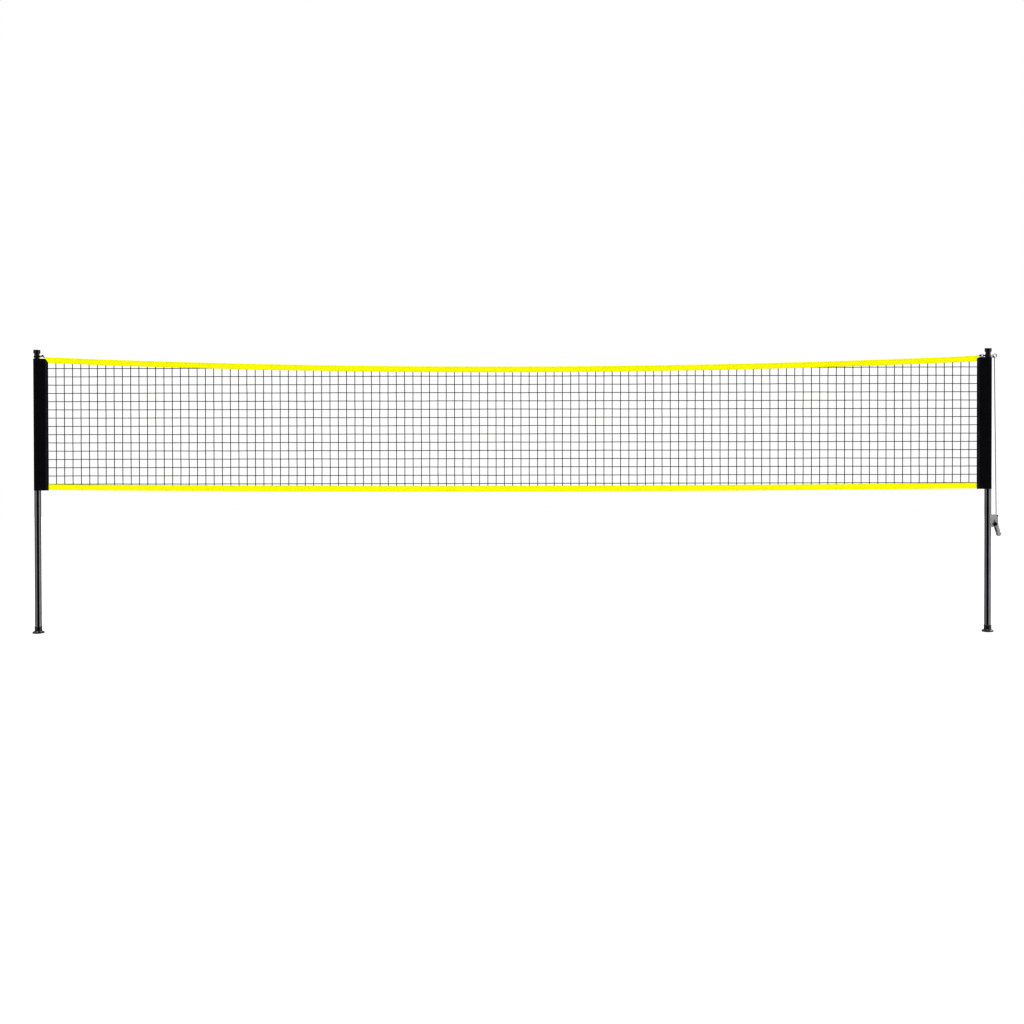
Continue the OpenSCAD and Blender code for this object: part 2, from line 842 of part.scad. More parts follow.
// saw teeth, steep on the side that the cord's pull turns against the lock pawl
module ratchet_outline() {
    polygon([
        for (i = [0:teeth - 1])
            let (a = lock_angle + i * tooth_pitch)
                each [polar(root_r, a + 1), polar(ratchet_r, a + tooth_pitch * 0.67),
                      polar(ratchet_r, a + tooth_pitch - 2.5), polar(root_r, a + tooth_pitch - 1)]
    ]);
}

module ratchet_wheels() {
    color("silver")
        on_right_pole()
            translate([drum_x, 0, drum_z])
                both_sides()
                    slab_y(wheel_y, wheel_y + ratchet_t)
                        difference() {
                            ratchet_outline();
                            circle(r = drum_r + 0.05);
                        }
}

module hub_heads() {
    color("black")
        on_right_pole()
            translate([drum_x, 0, drum_z])
                both_sides()
                    difference() {
                        union() {
                            pin_y(0, 0, hub_d / 2, hub_y, hub_y + hub_t - 1);
                            translate([0, hub_y + hub_t - 1, 0])
                                rotate([-90, 0, 0])
                                    cylinder(r1 = hub_d / 2, r2 = hub_d / 2 - 2, h = 1.5);
                        }
                        pin_y(0, 0, drum_r + 0.05, hub_y - 1, hub_y + hub_t - 1);
                    }
}

// the handle's own frame: X across it, away from the pole, Y back towards the drum's axis
module in_handle() {
    translate([drum_x, drum_z]) rotate(handle_lean) children();
}

grip_a_r = 9;
grip_b_r = 8;
grip_a = [12.5, -(handle_l - grip_a_r - 1)];
grip_b = [28.5, -(handle_l - 23)];
arm_left = 3;

// the grip's section: two round ends of different size and their common tangents
module grip_outline(shrink) {
    run = grip_b - grip_a;
    lean = atan2(run.y, run.x);
    turn = acos((grip_a_r - grip_b_r) / norm(run));
    polygon(concat(
        arc(grip_a.x, grip_a.y, grip_a_r - shrink, lean + turn, lean + 360 - turn, 18),
        arc(grip_b.x, grip_b.y, grip_b_r - shrink, lean - turn, lean + turn, 18)));
}

heel_reach = stop_pin_at + stop_pin_r;
heel_from = stop_pin_angle + asin(stop_pin_r / stop_pin_at) + 0.6;
heel_span = 16;

module handle_outline() {
    difference() {
        union() {
            translate([drum_x, drum_z]) circle(r = hub_d / 2 + 2);
            in_handle()
                polygon([[0, 17], [arm_left + handle_w - 7, 14], [arm_left + handle_w, 2],
                    [arm_left + handle_w, -handle_l + 28], grip_b, grip_a,
                    [arm_left, -handle_l + 12], [arm_left - 2, -30], [-10, -14]]);
            in_handle() grip_outline(0);
            polygon([[drum_x, drum_z], off_drum(heel_reach, heel_from), off_drum(heel_reach, heel_from + heel_span)]);
        }
        translate([drum_x, drum_z]) circle(r = drum_seat_r);
        for (r = slider_rivet_at)
            translate(off_drum(r, drive_angle)) circle(r = slider_rivet_r + 0.1);
    }
}

module handle_sides() {
    color("gray")
        on_right_pole() both_sides() slab_y(side_y, side_y + plate_t) handle_outline();
}

// the moulded grip that joins the two sides
module handle_grip() {
    color("gray")
        on_right_pole()
            slab_y(-side_y + 0.1, side_y - 0.1)
                difference() {
                    in_handle() grip_outline(1.2);
                    in_handle() translate(grip_a) circle(r = 2.5);
                    in_handle() translate(grip_b) circle(r = 2.5);
                }
}

slider_rivet_at = [ratchet_r + 14, ratchet_r + 34];
slider_rivet_r = 2;

module slider_rivets() {
    color("silver")
        on_right_pole()
            for (r = slider_rivet_at)
                let (at = off_drum(r, drive_angle))
                    both_sides() {
                        pin_y(at.x, at.y, slider_rivet_r, wheel_y + 0.2, side_y + plate_t + 0.5);
                        pin_y(at.x, at.y, slider_rivet_r + 1.5, side_y + plate_t + 0.1,
                            side_y + plate_t + 1.4);
                    }
}

pull_bar_at = 70;
pull_bar_r = 4;
slider_half_w = 4;

// two slides, one beside each wheel, joined by the bar that the fingers pull
module drive_pawl() {
    arm_from = ear_from + 1;
    color("gray")
        on_right_pole()
            from_drum(drive_angle)
                union() {
                    both_sides()
                        slab_y(wheel_y + 0.1, wheel_y + ratchet_t)
                            difference() {
                                union() {
                                    pawl_point();
                                    translate([ear_from - 0.5, -pawl_t / 2]) square([4, pawl_t]);
                                    translate([arm_from, -slider_half_w])
                                        square([pull_bar_at - arm_from, 2 * slider_half_w]);
                                    translate([pull_bar_at, 0]) circle(r = slider_half_w);
                                }
                                for (r = slider_rivet_at) slider_slot(r);
                            }
                    pin_y(pull_bar_at, 0, pull_bar_r, -wheel_y - 0.2, wheel_y + 0.2);
                }
}

module slider_slot(r) {
    half = slider_rivet_r + 0.25;
    translate([r - pawl_travel, 0]) circle(r = half);
    translate([r, 0]) circle(r = half);
    translate([r - pawl_travel, -half]) square([pawl_travel, 2 * half]);
}

grip_front = 91;

module drive_pawl_spring() {
    color("silver")
        on_right_pole()
            from_drum(drive_angle)
                coil_spring(pull_bar_at + pull_bar_r + 0.2, grip_front, 5);
}

// ---------- assembly ----------

module left_pole_tube() {
    color("darkgray") on_left_pole() pole_tube();
}

module right_pole_tube() {
    color("darkgray")
        on_right_pole()
            difference() {
                pole_tube();
                rivets(rivet_r + seat_gap, 0);
            }
}

module left_foot() {
    color("black") on_left_pole() foot();
}

module right_foot() {
    color("black") on_right_pole() foot();
}

module left_cap() {
    color("black") on_left_pole() cap_body();
}

module right_cap() {
    color("black") on_right_pole() right_cap_body();
}

module left_sleeve() {
    color("black") on_left_pole() sleeve();
}

module right_sleeve() {
    color("black") on_right_pole() sleeve();
}

left_pole_tube();
right_pole_tube();
left_foot();
right_foot();
left_cap();
right_cap();
left_sleeve();
right_sleeve();
vertical_twines();
level_twines();
top_tape();
bottom_tape();
head_cord();
foot_cord();
left_lashing();
guide_ring();
guide_ring_nut();
tension_cord();
snap_hook();
snap_gate();
snap_gate_pin();
tensioner_frame();
tensioner_rivets();
handle_stop_pin();
cord_guide_pin();
lock_spring_seat();
lock_pawl();
lock_pawl_spring();
drum_halves();
ratchet_wheels();
hub_heads();
wound_cord();
handle_sides();
handle_grip();
slider_rivets();
drive_pawl();
drive_pawl_spring();
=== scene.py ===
"""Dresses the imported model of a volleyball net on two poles: cloth, cord, rubber and metal."""

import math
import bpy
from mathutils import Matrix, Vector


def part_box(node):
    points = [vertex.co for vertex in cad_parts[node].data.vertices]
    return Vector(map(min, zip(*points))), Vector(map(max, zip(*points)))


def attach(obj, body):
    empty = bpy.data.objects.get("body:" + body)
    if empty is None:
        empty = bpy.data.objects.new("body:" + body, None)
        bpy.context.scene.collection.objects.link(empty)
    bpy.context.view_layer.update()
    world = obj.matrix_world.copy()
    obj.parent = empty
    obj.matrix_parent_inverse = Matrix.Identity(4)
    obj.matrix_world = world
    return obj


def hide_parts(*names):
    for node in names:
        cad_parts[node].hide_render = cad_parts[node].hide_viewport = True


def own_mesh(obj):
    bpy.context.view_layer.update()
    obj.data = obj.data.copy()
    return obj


bl_info = {
    "name": "Volleyball Net on Poles",
    "version": (1, 0, 0),
    "blender": (4, 5, 0),
    "location": "View3D > Sidebar > Net",
    "description": "Twines, tapes, sleeves, ropes and finishes for a net on two free-standing poles",
    "category": "Object",
}

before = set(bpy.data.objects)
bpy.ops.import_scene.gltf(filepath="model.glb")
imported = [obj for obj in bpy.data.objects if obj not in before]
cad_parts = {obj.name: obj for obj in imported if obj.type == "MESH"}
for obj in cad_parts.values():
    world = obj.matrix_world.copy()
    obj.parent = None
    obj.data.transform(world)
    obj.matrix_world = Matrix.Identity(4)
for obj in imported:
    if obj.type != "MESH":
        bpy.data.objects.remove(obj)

import bmesh
import bpy
from mathutils import Matrix, Vector, noise

MM = 0.001
STAND = "stand"


# ---------- sizes taken from the frame ----------

TUBE_LOW, TUBE_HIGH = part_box("right_pole_tube")
POLE_X = (TUBE_LOW.x + TUBE_HIGH.x) / 2
POLE_R = (TUBE_HIGH.x - TUBE_LOW.x) / 2
SLEEVE_LOW, SLEEVE_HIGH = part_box("right_sleeve")
NET_EDGE = SLEEVE_LOW.x
TAPE_LOW, TAPE_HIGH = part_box("top_tape")
ROWS_LOW, ROWS_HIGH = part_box("level_twines")
COLUMNS_LOW, COLUMNS_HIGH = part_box("vertical_twines")
RING_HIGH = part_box("guide_ring")[1]
HOOK_LOW, HOOK_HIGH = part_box("snap_hook")
FITTING_Z = (HOOK_LOW.z + HOOK_HIGH.z) / 2
HUB_LOW, HUB_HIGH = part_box("hub_heads")
DRUM = Vector(((HUB_LOW.x + HUB_HIGH.x) / 2, 0, (HUB_LOW.z + HUB_HIGH.z) / 2))


# ---------- sizes of the solids that the cords lie on ----------

CLEAR = 0.3 * MM  # between a cord and the solid under it
CAP_NECK_R = 22.25 * MM
RING_BAR = 9 * MM
RING_R = 16.5 * MM  # to the middle of its bar
HOOK_BAR = 5 * MM
DRUM_R = 12 * MM
EYE_R = 6.8 * MM  # of an eye in a cord's end, to the middle of the cord
CLOTH_GAP = 0.4 * MM  # between a sleeve and what it goes over or next to


# ---------- small helpers ----------


def linear(code):
    """An sRGB hex colour as linear red, green, blue and alpha."""
    parts = [int(code[i : i + 2], 16) / 255 for i in (1, 3, 5)]
    return [c / 12.92 if c <= 0.04045 else ((c + 0.055) / 1.055) ** 2.4 for c in parts] + [1.0]


def add(tree, kind, settings=None, links=None, onward=None):
    """One node with its properties and socket values, what it is linked from and what it is linked to."""
    node = tree.nodes.new(kind)
    for name, value in (settings or {}).items():
        if isinstance(name, int) or name in node.inputs:
            node.inputs[name].default_value = value
        else:
            setattr(node, name, value)
    for name, socket in (links or {}).items():
        tree.links.new(socket, node.inputs[name])
    for name, socket in (onward or {}).items():
        tree.links.new(node.outputs[name], socket)
    return node


def shader(name, metallic, roughness, colour=None, **sockets):
    """An empty material with its Principled shader; what is the same all over sits on its sockets."""
    material = bpy.data.materials.new(name)
    material.use_nodes = True
    tree = material.node_tree
    tree.nodes.clear()
    output = add(tree, "ShaderNodeOutputMaterial")
    bsdf = add(tree, "ShaderNodeBsdfPrincipled", {"Metallic": metallic, "Roughness": roughness})
    if colour:
        bsdf.inputs["Base Color"].default_value = linear(colour)
    for socket, value in sockets.items():
        bsdf.inputs[socket.replace("_", " ")].default_value = value
    tree.links.new(bsdf.outputs["BSDF"], output.inputs["Surface"])
    return material, tree, bsdf


def mesh_piece(name, vertices, faces, uvs, material):
    """A smooth mesh at the origin, with its own UV map where uvs gives one pair a corner."""
    mesh = bpy.data.meshes.new(name)
    mesh.from_pydata([tuple(v) for v in vertices], [], faces)
    if uvs:
        layer = mesh.uv_layers.new(name="surface")
        layer.data.foreach_set("uv", [c for pair in uvs for c in pair])
    mesh.polygons.foreach_set("use_smooth", [True] * len(mesh.polygons))
    mesh.materials.append(material)
    mesh.update()
    piece = bpy.data.objects.new(name, mesh)
    bpy.context.scene.collection.objects.link(piece)
    return piece


def path_frames(points, start):
    """For each point of a path: the direction, and two directions across it carried without twist."""
    found, across = [], Vector(start)
    for i in range(len(points)):
        ahead = points[min(i + 1, len(points) - 1)] - points[max(i - 1, 0)]
        ahead.normalize()
        across = (across - across.dot(ahead) * ahead).normalized()
        found.append((ahead, across, ahead.cross(across)))
    return found


class Tubes:
    """Gathers round tubes along paths into one mesh; its UV map is the turn and the length in metres."""

    def __init__(self):
        self.vertices, self.faces, self.uvs = [], [], []

    def tube(self, points, radius, sides=10, start=(0, 1, 0), closed=False):
        """Adds one tube. A closed one joins its last ring to its first."""
        points = [Vector(p) for p in points]
        base, length = len(self.vertices), 0.0
        frames = path_frames(points, start)
        lengths = []
        for i, point in enumerate(points):
            if i:
                length += (point - points[i - 1]).length
            lengths.append(length)
            r = radius(i / (len(points) - 1)) if callable(radius) else radius
            _, across, up = frames[i]
            for k in range(sides):
                a = 2 * math.pi * k / sides
                self.vertices.append(point + r * (math.cos(a) * across + math.sin(a) * up))
        count = len(points)
        for i in range(count if closed else count - 1):
            j = (i + 1) % count
            v0 = lengths[i]
            v1 = lengths[j] if j else length + (points[0] - points[-1]).length
            for k in range(sides):
                m = (k + 1) % sides
                ring, after = base + i * sides, base + j * sides
                self.faces.append((ring + k, ring + m, after + m, after + k))
                u0, u1 = k / sides, (k + 1) / sides
                self.uvs += [(u0, v0), (u1, v0), (u1, v1), (u0, v1)]
        if not closed:
            last = base + (count - 1) * sides
            self.faces.append(tuple(base + k for k in reversed(range(sides))))
            self.faces.append(tuple(last + k for k in range(sides)))
            self.uvs += [(0.5, 0.0)] * sides + [(0.5, length)] * sides

    def piece(self, name, material):
        """The gathered tubes as one object."""
        return mesh_piece(name, self.vertices, self.faces, self.uvs, material)


def lofted(name, rings, uv_rings, material):
    """A closed skin over rings of points: its UV map is in metres, its two ends are capped."""
    n = len(rings[0])
    vertices = [p for ring in rings for p in ring]
    faces, uvs = [], []
    for i in range(len(rings) - 1):
        for k in range(n):
            m = (k + 1) % n
            faces.append((i * n + k, i * n + m, (i + 1) * n + m, (i + 1) * n + k))
            corner = uv_rings[i][m] if m else uv_rings[i][n]
            above = uv_rings[i + 1][m] if m else uv_rings[i + 1][n]
            uvs += [uv_rings[i][k], corner, above, uv_rings[i + 1][k]]
    half = n // 2
    for ring, turned in ((0, True), (len(rings) - 1, False)):
        base = ring * n
        for k in range(half - 1):
            quad = [base + k, base + k + 1, base + n - 2 - k, base + n - 1 - k]
            if not turned:
                quad.reverse()
            faces.append(tuple(quad))
            uvs += [uv_rings[ring][q - base] for q in quad]
    return mesh_piece(name, vertices, faces, uvs, material)


def face_outwards(piece):
    """Turns every face of a closed piece outwards, after its doubles are merged."""
    work = bmesh.new()
    work.from_mesh(piece.data)
    bmesh.ops.remove_doubles(work, verts=work.verts, dist=1e-6)
    bmesh.ops.dissolve_degenerate(work, edges=work.edges, dist=1e-6)
    bmesh.ops.recalc_face_normals(work, faces=work.faces)
    work.to_mesh(piece.data)
    work.free()
    return piece


def settle(piece, *nodes, body=STAND, slot=None):
    """Puts a finished piece on its body, in place of the nodes that it stands for."""
    if nodes:
        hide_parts(*nodes)
    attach(piece, body)
    return piece


# ---------- geometry node trees ----------


def new_tree(name, inputs):
    """A geometry node tree with its group nodes and named inputs: {name: (socket kind, default)}."""
    tree = bpy.data.node_groups.new(name, "GeometryNodeTree")
    tree.interface.new_socket("Geometry", in_out="INPUT", socket_type="NodeSocketGeometry")
    for label, (kind, default) in inputs.items():
        socket = tree.interface.new_socket(label, in_out="INPUT", socket_type=kind)
        socket.default_value = default
    tree.interface.new_socket("Geometry", in_out="OUTPUT", socket_type="NodeSocketGeometry")
    return tree, add(tree, "NodeGroupInput"), add(tree, "NodeGroupOutput")


def knot_tree():
    """A small lumpy knot on each point, each turned a little its own way."""
    tree, given, result = new_tree(
        "Twine Knots",
        {
            "Knot Width": ("NodeSocketFloat", 8 * MM),
            "Knot Height": ("NodeSocketFloat", 8 * MM),
            "Knot Depth": ("NodeSocketFloat", 6.6 * MM),
            "Turn": ("NodeSocketFloat", 0.35),
        },
    )
    ball = add(tree, "GeometryNodeMeshUVSphere", {"Segments": 7, "Rings": 5, "Radius": 0.5})
    size = add(
        tree,
        "ShaderNodeCombineXYZ",
        links={
            "X": given.outputs["Knot Width"],
            "Y": given.outputs["Knot Depth"],
            "Z": given.outputs["Knot Height"],
        },
    )
    shaped = add(
        tree,
        "GeometryNodeTransform",
        links={"Geometry": ball.outputs["Mesh"], "Scale": size.outputs["Vector"]},
    )
    least = add(tree, "ShaderNodeMath", {"operation": "MULTIPLY", 1: -1.0}, {0: given.outputs["Turn"]})
    turn = add(
        tree,
        "FunctionNodeRandomValue",
        {"data_type": "FLOAT", "Seed": 11},
        {2: least.outputs[0], 3: given.outputs["Turn"]},
    )
    angle = add(tree, "ShaderNodeCombineXYZ", links={"Y": turn.outputs[1]})
    growth = add(tree, "FunctionNodeRandomValue", {"data_type": "FLOAT", "Seed": 12, 2: 0.85, 3: 1.12})
    placed = add(
        tree,
        "GeometryNodeInstanceOnPoints",
        links={
            "Points": given.outputs["Geometry"],
            "Instance": shaped.outputs["Geometry"],
            "Rotation": angle.outputs["Vector"],
            "Scale": growth.outputs[1],
        },
    )
    return tree, result, placed.outputs["Instances"]


def stitch_tree():
    """A short bar of thread at every pitch along each line, lying along the line."""
    tree, given, result = new_tree(
        "Sewn Stitches",
        {
            "Pitch": ("NodeSocketFloat", 7 * MM),
            "Stitch Length": ("NodeSocketFloat", 5 * MM),
            "Thread Width": ("NodeSocketFloat", 0.9 * MM),
        },
    )
    lines = add(tree, "GeometryNodeMeshToCurve", links={"Mesh": given.outputs["Geometry"]})
    evenly = add(
        tree,
        "GeometryNodeResampleCurve",
        {"mode": "LENGTH"},
        {"Curve": lines.outputs["Curve"], "Length": given.outputs["Pitch"]},
    )
    radius = add(
        tree, "ShaderNodeMath", {"operation": "MULTIPLY", 1: 0.5}, {0: given.outputs["Thread Width"]}
    )
    thread = add(
        tree,
        "GeometryNodeMeshCylinder",
        {"Vertices": 5},
        {"Radius": radius.outputs[0], "Depth": given.outputs["Stitch Length"]},
    )
    ahead = add(tree, "GeometryNodeInputTangent")
    aligned = add(
        tree, "FunctionNodeAlignRotationToVector", {"axis": "Z"}, {"Vector": ahead.outputs["Tangent"]}
    )
    placed = add(
        tree,
        "GeometryNodeInstanceOnPoints",
        links={
            "Points": evenly.outputs["Curve"],
            "Instance": thread.outputs["Mesh"],
            "Rotation": aligned.outputs["Rotation"],
        },
    )
    return tree, result, placed.outputs["Instances"]


def spring_tree():
    """A coil of round wire along +X from the origin."""
    tree, given, result = new_tree(
        "Coil Spring",
        {
            "Turns": ("NodeSocketFloat", 5.0),
            "Coil Radius": ("NodeSocketFloat", 3 * MM),
            "Wire Radius": ("NodeSocketFloat", 0.6 * MM),
            "Length": ("NodeSocketFloat", 16 * MM),
        },
    )
    coil = add(
        tree,
        "GeometryNodeCurveSpiral",
        {"Resolution": 28},
        {
            "Rotations": given.outputs["Turns"],
            "Start Radius": given.outputs["Coil Radius"],
            "End Radius": given.outputs["Coil Radius"],
            "Height": given.outputs["Length"],
        },
    )
    wire = add(
        tree, "GeometryNodeCurvePrimitiveCircle", {"Resolution": 10}, {"Radius": given.outputs["Wire Radius"]}
    )
    drawn = add(
        tree,
        "GeometryNodeCurveToMesh",
        {"Fill Caps": True},
        {"Curve": coil.outputs["Curve"], "Profile Curve": wire.outputs["Curve"]},
    )
    laid = add(
        tree,
        "GeometryNodeTransform",
        {"Rotation": (0, math.pi / 2, 0)},
        {"Geometry": drawn.outputs["Mesh"]},
    )
    return tree, result, laid.outputs["Geometry"]


def grown(name, source, made, material, values):
    """Runs a tree on a source mesh and returns the plain mesh that it makes."""
    tree, result, geometry = made
    joined = add(tree, "GeometryNodeRealizeInstances", links={"Geometry": geometry})
    dressed = add(
        tree, "GeometryNodeSetMaterial", {"Material": material}, {"Geometry": joined.outputs["Geometry"]}
    )
    tree.links.new(dressed.outputs["Geometry"], result.inputs["Geometry"])
    modifier = source.modifiers.new(tree.name, "NODES")
    modifier.node_group = tree
    for item in tree.interface.items_tree:
        if item.in_out == "INPUT" and item.name in values:
            modifier[item.identifier] = values[item.name]
    bpy.context.view_layer.update()
    graph = bpy.context.evaluated_depsgraph_get()
    mesh = bpy.data.meshes.new_from_object(source.evaluated_get(graph), depsgraph=graph)
    source.modifiers.clear()
    bpy.data.objects.remove(source)
    mesh.name = name
    if not mesh.materials:
        mesh.materials.append(material)
    mesh.polygons.foreach_set("use_smooth", [True] * len(mesh.polygons))
    piece = bpy.data.objects.new(name, mesh)
    bpy.context.scene.collection.objects.link(piece)
    return piece


def bare_mesh(name, vertices, edges=()):
    """A mesh of points, or of lines, for a tree to work on."""
    mesh = bpy.data.meshes.new(name)
    mesh.from_pydata([tuple(v) for v in vertices], list(edges), [])
    source = bpy.data.objects.new(name, mesh)
    bpy.context.scene.collection.objects.link(source)
    return source


def stitched(name, lines, material, pitch):
    """Rows of stitches along lines of points, each 5 mm long in a thread 0.8 mm thick."""
    vertices, edges = [], []
    for line in lines:
        base = len(vertices)
        vertices += line
        edges += [(base + i, base + i + 1) for i in range(len(line) - 1)]
    values = {"Pitch": pitch, "Stitch Length": 5 * MM, "Thread Width": 0.8 * MM}
    return grown(name, bare_mesh(name + "_lines", vertices, edges), stitch_tree(), material, values)


# ---------- finishes ----------


def anodised_aluminium(colours):
    """Drawn tube, satin anodised: a soft mirror, drawn lines along it and a dull film from hands."""
    material, tree, bsdf = shader("Satin Anodised Aluminium", 1.0, 0.18)
    place = add(tree, "ShaderNodeTexCoord").outputs["Object"]
    # Drawing lines are 0.4 mm apart round the tube and run for decimetres along it.
    along = add(tree, "ShaderNodeMapping", {"Scale": (2500, 2500, 6)}, {"Vector": place})
    along = along.outputs["Vector"]
    lines = add(tree, "ShaderNodeTexNoise", {"Scale": 1.0, "Detail": 2.0}, {"Vector": along})
    film = add(tree, "ShaderNodeTexNoise", {"Scale": 9.0, "Detail": 5.0}, {"Vector": place}).outputs["Fac"]
    add(
        tree,
        "ShaderNodeMix",
        {"data_type": "RGBA", 6: linear(colours.pole_dark), 7: linear(colours.pole_light)},
        {0: film},
        {2: bsdf.inputs["Base Color"]},
    )
    add(
        tree,
        "ShaderNodeMapRange",
        {"From Min": 0.3, "From Max": 0.7, "To Min": 0.13, "To Max": 0.22},
        {"Value": film},
        {"Result": bsdf.inputs["Roughness"]},
    )
    add(
        tree,
        "ShaderNodeBump",
        {"Strength": 0.12, "Distance": 0.02 * MM},
        {"Height": lines.outputs["Fac"]},
        {"Normal": bsdf.inputs["Normal"]},
    )
    return material


def moulded_rubber():
    """Black moulded rubber: a polished mould's half gloss, paler with dust towards the floor."""
    # The hard skin off a polished mould mirrors more than the rubber under it.
    skin = {"Coat_Weight": 1.0, "Coat_IOR": 1.95, "Coat_Roughness": 0.12}
    material, tree, bsdf = shader("Moulded Rubber", 0.0, 0.3, IOR=1.52, Specular_IOR_Level=0.9, **skin)
    place = add(tree, "ShaderNodeTexCoord").outputs["Object"]
    # The mould's grain is about 0.8 mm across.
    grain = add(tree, "ShaderNodeTexNoise", {"Scale": 1200.0, "Detail": 3.0}, {"Vector": place})
    dust = add(tree, "ShaderNodeTexNoise", {"Scale": 60.0, "Detail": 6.0}, {"Vector": place}).outputs["Fac"]
    parts = add(tree, "ShaderNodeSeparateXYZ", links={"Vector": place})
    low = add(
        tree,
        "ShaderNodeMapRange",
        {"From Min": 0.0, "From Max": 0.02, "To Min": 0.6, "To Max": 0.0},
        {"Value": parts.outputs["Z"]},
    )
    worn = add(tree, "ShaderNodeMath", {"operation": "MULTIPLY"}, {0: low.outputs["Result"], 1: dust})
    add(
        tree,
        "ShaderNodeMix",
        {"data_type": "RGBA", 6: linear("#0b0b0c"), 7: linear("#3a3936")},
        {0: worn.outputs[0]},
        {2: bsdf.inputs["Base Color"]},
    )
    add(
        tree,
        "ShaderNodeMapRange",
        {"From Min": 0.3, "From Max": 0.7, "To Min": 0.2, "To Max": 0.36},
        {"Value": dust},
        {"Result": bsdf.inputs["Roughness"]},
    )
    add(
        tree,
        "ShaderNodeBump",
        {"Strength": 0.15, "Distance": 0.05 * MM},
        {"Height": grain.outputs["Fac"]},
        {"Normal": bsdf.inputs["Normal"]},
    )
    return material


def glossy_abs():
    """Injection-moulded black ABS: a clear gloss with faint rubbing where ropes go round."""
    skin = {"Coat_Weight": 1.0, "Coat_IOR": 1.75, "Coat_Roughness": 0.06}
    material, tree, bsdf = shader(
        "Glossy Black ABS", 0.0, 0.2, "#0a0a0b", IOR=1.54, Specular_IOR_Level=0.95, **skin
    )
    place = add(tree, "ShaderNodeTexCoord").outputs["Object"]
    # Rub marks are about 4 mm high and 25 mm long round the cap.
    rub = add(tree, "ShaderNodeMapping", {"Scale": (40, 40, 260)}, {"Vector": place})
    marks = add(tree, "ShaderNodeTexNoise", {"Scale": 1.0, "Detail": 4.0}, {"Vector": rub.outputs["Vector"]})
    add(
        tree,
        "ShaderNodeMapRange",
        {"From Min": 0.35, "From Max": 0.75, "To Min": 0.1, "To Max": 0.26},
        {"Value": marks.outputs["Fac"]},
        {"Result": bsdf.inputs["Roughness"]},
    )
    # The moulded skin waves a little every 6 mm or so.
    waves = add(tree, "ShaderNodeTexNoise", {"Scale": 180.0, "Detail": 2.0}, {"Vector": place})
    add(
        tree,
        "ShaderNodeBump",
        {"Strength": 0.08, "Distance": 0.2 * MM},
        {"Height": waves.outputs["Fac"]},
        {"Normal": bsdf.inputs["Normal"]},
    )
    return material


def weave_height(tree, uv, pitch):
    """A plain weave's height from a UV map in metres, with threads that far apart both ways."""
    heights = []
    for axis in ("X", "Y"):
        # A sine wave of a whole turn for each thread.
        wave = add(
            tree,
            "ShaderNodeTexWave",
            {
                "wave_type": "BANDS",
                "bands_direction": axis,
                "wave_profile": "SIN",
                "Scale": math.pi / (10 * pitch),
                "Distortion": 0.0,
            },
            {"Vector": uv},
        )
        heights.append(wave.outputs["Fac"])
    higher = add(tree, "ShaderNodeMath", {"operation": "MAXIMUM"}, {0: heights[0], 1: heights[1]})
    return higher.outputs[0]


def oxford_cloth(colours):
    """Black Oxford polyester: a plain weave with a dull sheen and soft rubbed patches, painted shade between
    its threads and a painted highlight on the welt.
    """
    material, tree, bsdf = shader("Black Oxford Polyester", 0.0, 0.62, Specular_IOR_Level=0.2)
    uv = add(tree, "ShaderNodeUVMap", {"uv_map": "surface"}).outputs["UV"]
    # 600-denier threads lie about 0.9 mm apart; they are drawn at 1.6 mm so that they show.
    weave = weave_height(tree, uv, 1.6 * MM)
    rubbed = add(tree, "ShaderNodeTexNoise", {"Scale": 14.0, "Detail": 6.0}, {"Vector": uv})
    worn = add(
        tree,
        "ShaderNodeMapRange",
        {"From Min": 0.35, "From Max": 0.75, "To Min": 0.35, "To Max": 1.0},
        {"Value": rubbed.outputs["Fac"]},
    ).outputs["Result"]
    crowns = add(tree, "ShaderNodeMath", {"operation": "MULTIPLY"}, {0: weave, 1: worn})
    # The hollows between the threads take the darker colour: painted shade for the weave's relief.
    cloth = add(
        tree,
        "ShaderNodeMix",
        {"data_type": "RGBA", 6: linear(colours.sleeve_hollow_shade), 7: linear(colours.sleeve_light)},
        {0: crowns.outputs[0]},
    )
    # The welt between the two seams stands proud beside the net, and there the cloth is painted paler: a
    # painted highlight for the light that the raised welt catches.
    place = add(tree, "ShaderNodeTexCoord")
    parts = add(tree, "ShaderNodeSeparateXYZ", links={"Vector": place.outputs["Object"]})
    aside = add(tree, "ShaderNodeMath", {"operation": "ABSOLUTE"}, {0: parts.outputs["X"]})
    welt = NET_EDGE + 15.5 * MM
    off = add(tree, "ShaderNodeMath", {"operation": "SUBTRACT", 1: welt}, {0: aside.outputs[0]})
    away = add(tree, "ShaderNodeMath", {"operation": "ABSOLUTE"}, {0: off.outputs[0]})
    near = add(
        tree,
        "ShaderNodeMapRange",
        {"From Min": 4 * MM, "From Max": 8 * MM, "To Min": 0.75, "To Max": 0.0},
        {"Value": away.outputs[0]},
    )
    pale = add(tree, "ShaderNodeMath", {"operation": "MULTIPLY"}, {0: near.outputs["Result"], 1: worn})
    add(
        tree,
        "ShaderNodeMix",
        {"data_type": "RGBA", 7: linear(colours.sleeve_welt_highlight)},
        {0: pale.outputs[0], 6: cloth.outputs[2]},
        {2: bsdf.inputs["Base Color"]},
    )
    add(
        tree,
        "ShaderNodeBump",
        {"Strength": 0.7, "Distance": 0.3 * MM},
        {"Height": weave},
        {"Normal": bsdf.inputs["Normal"]},
    )
    return material


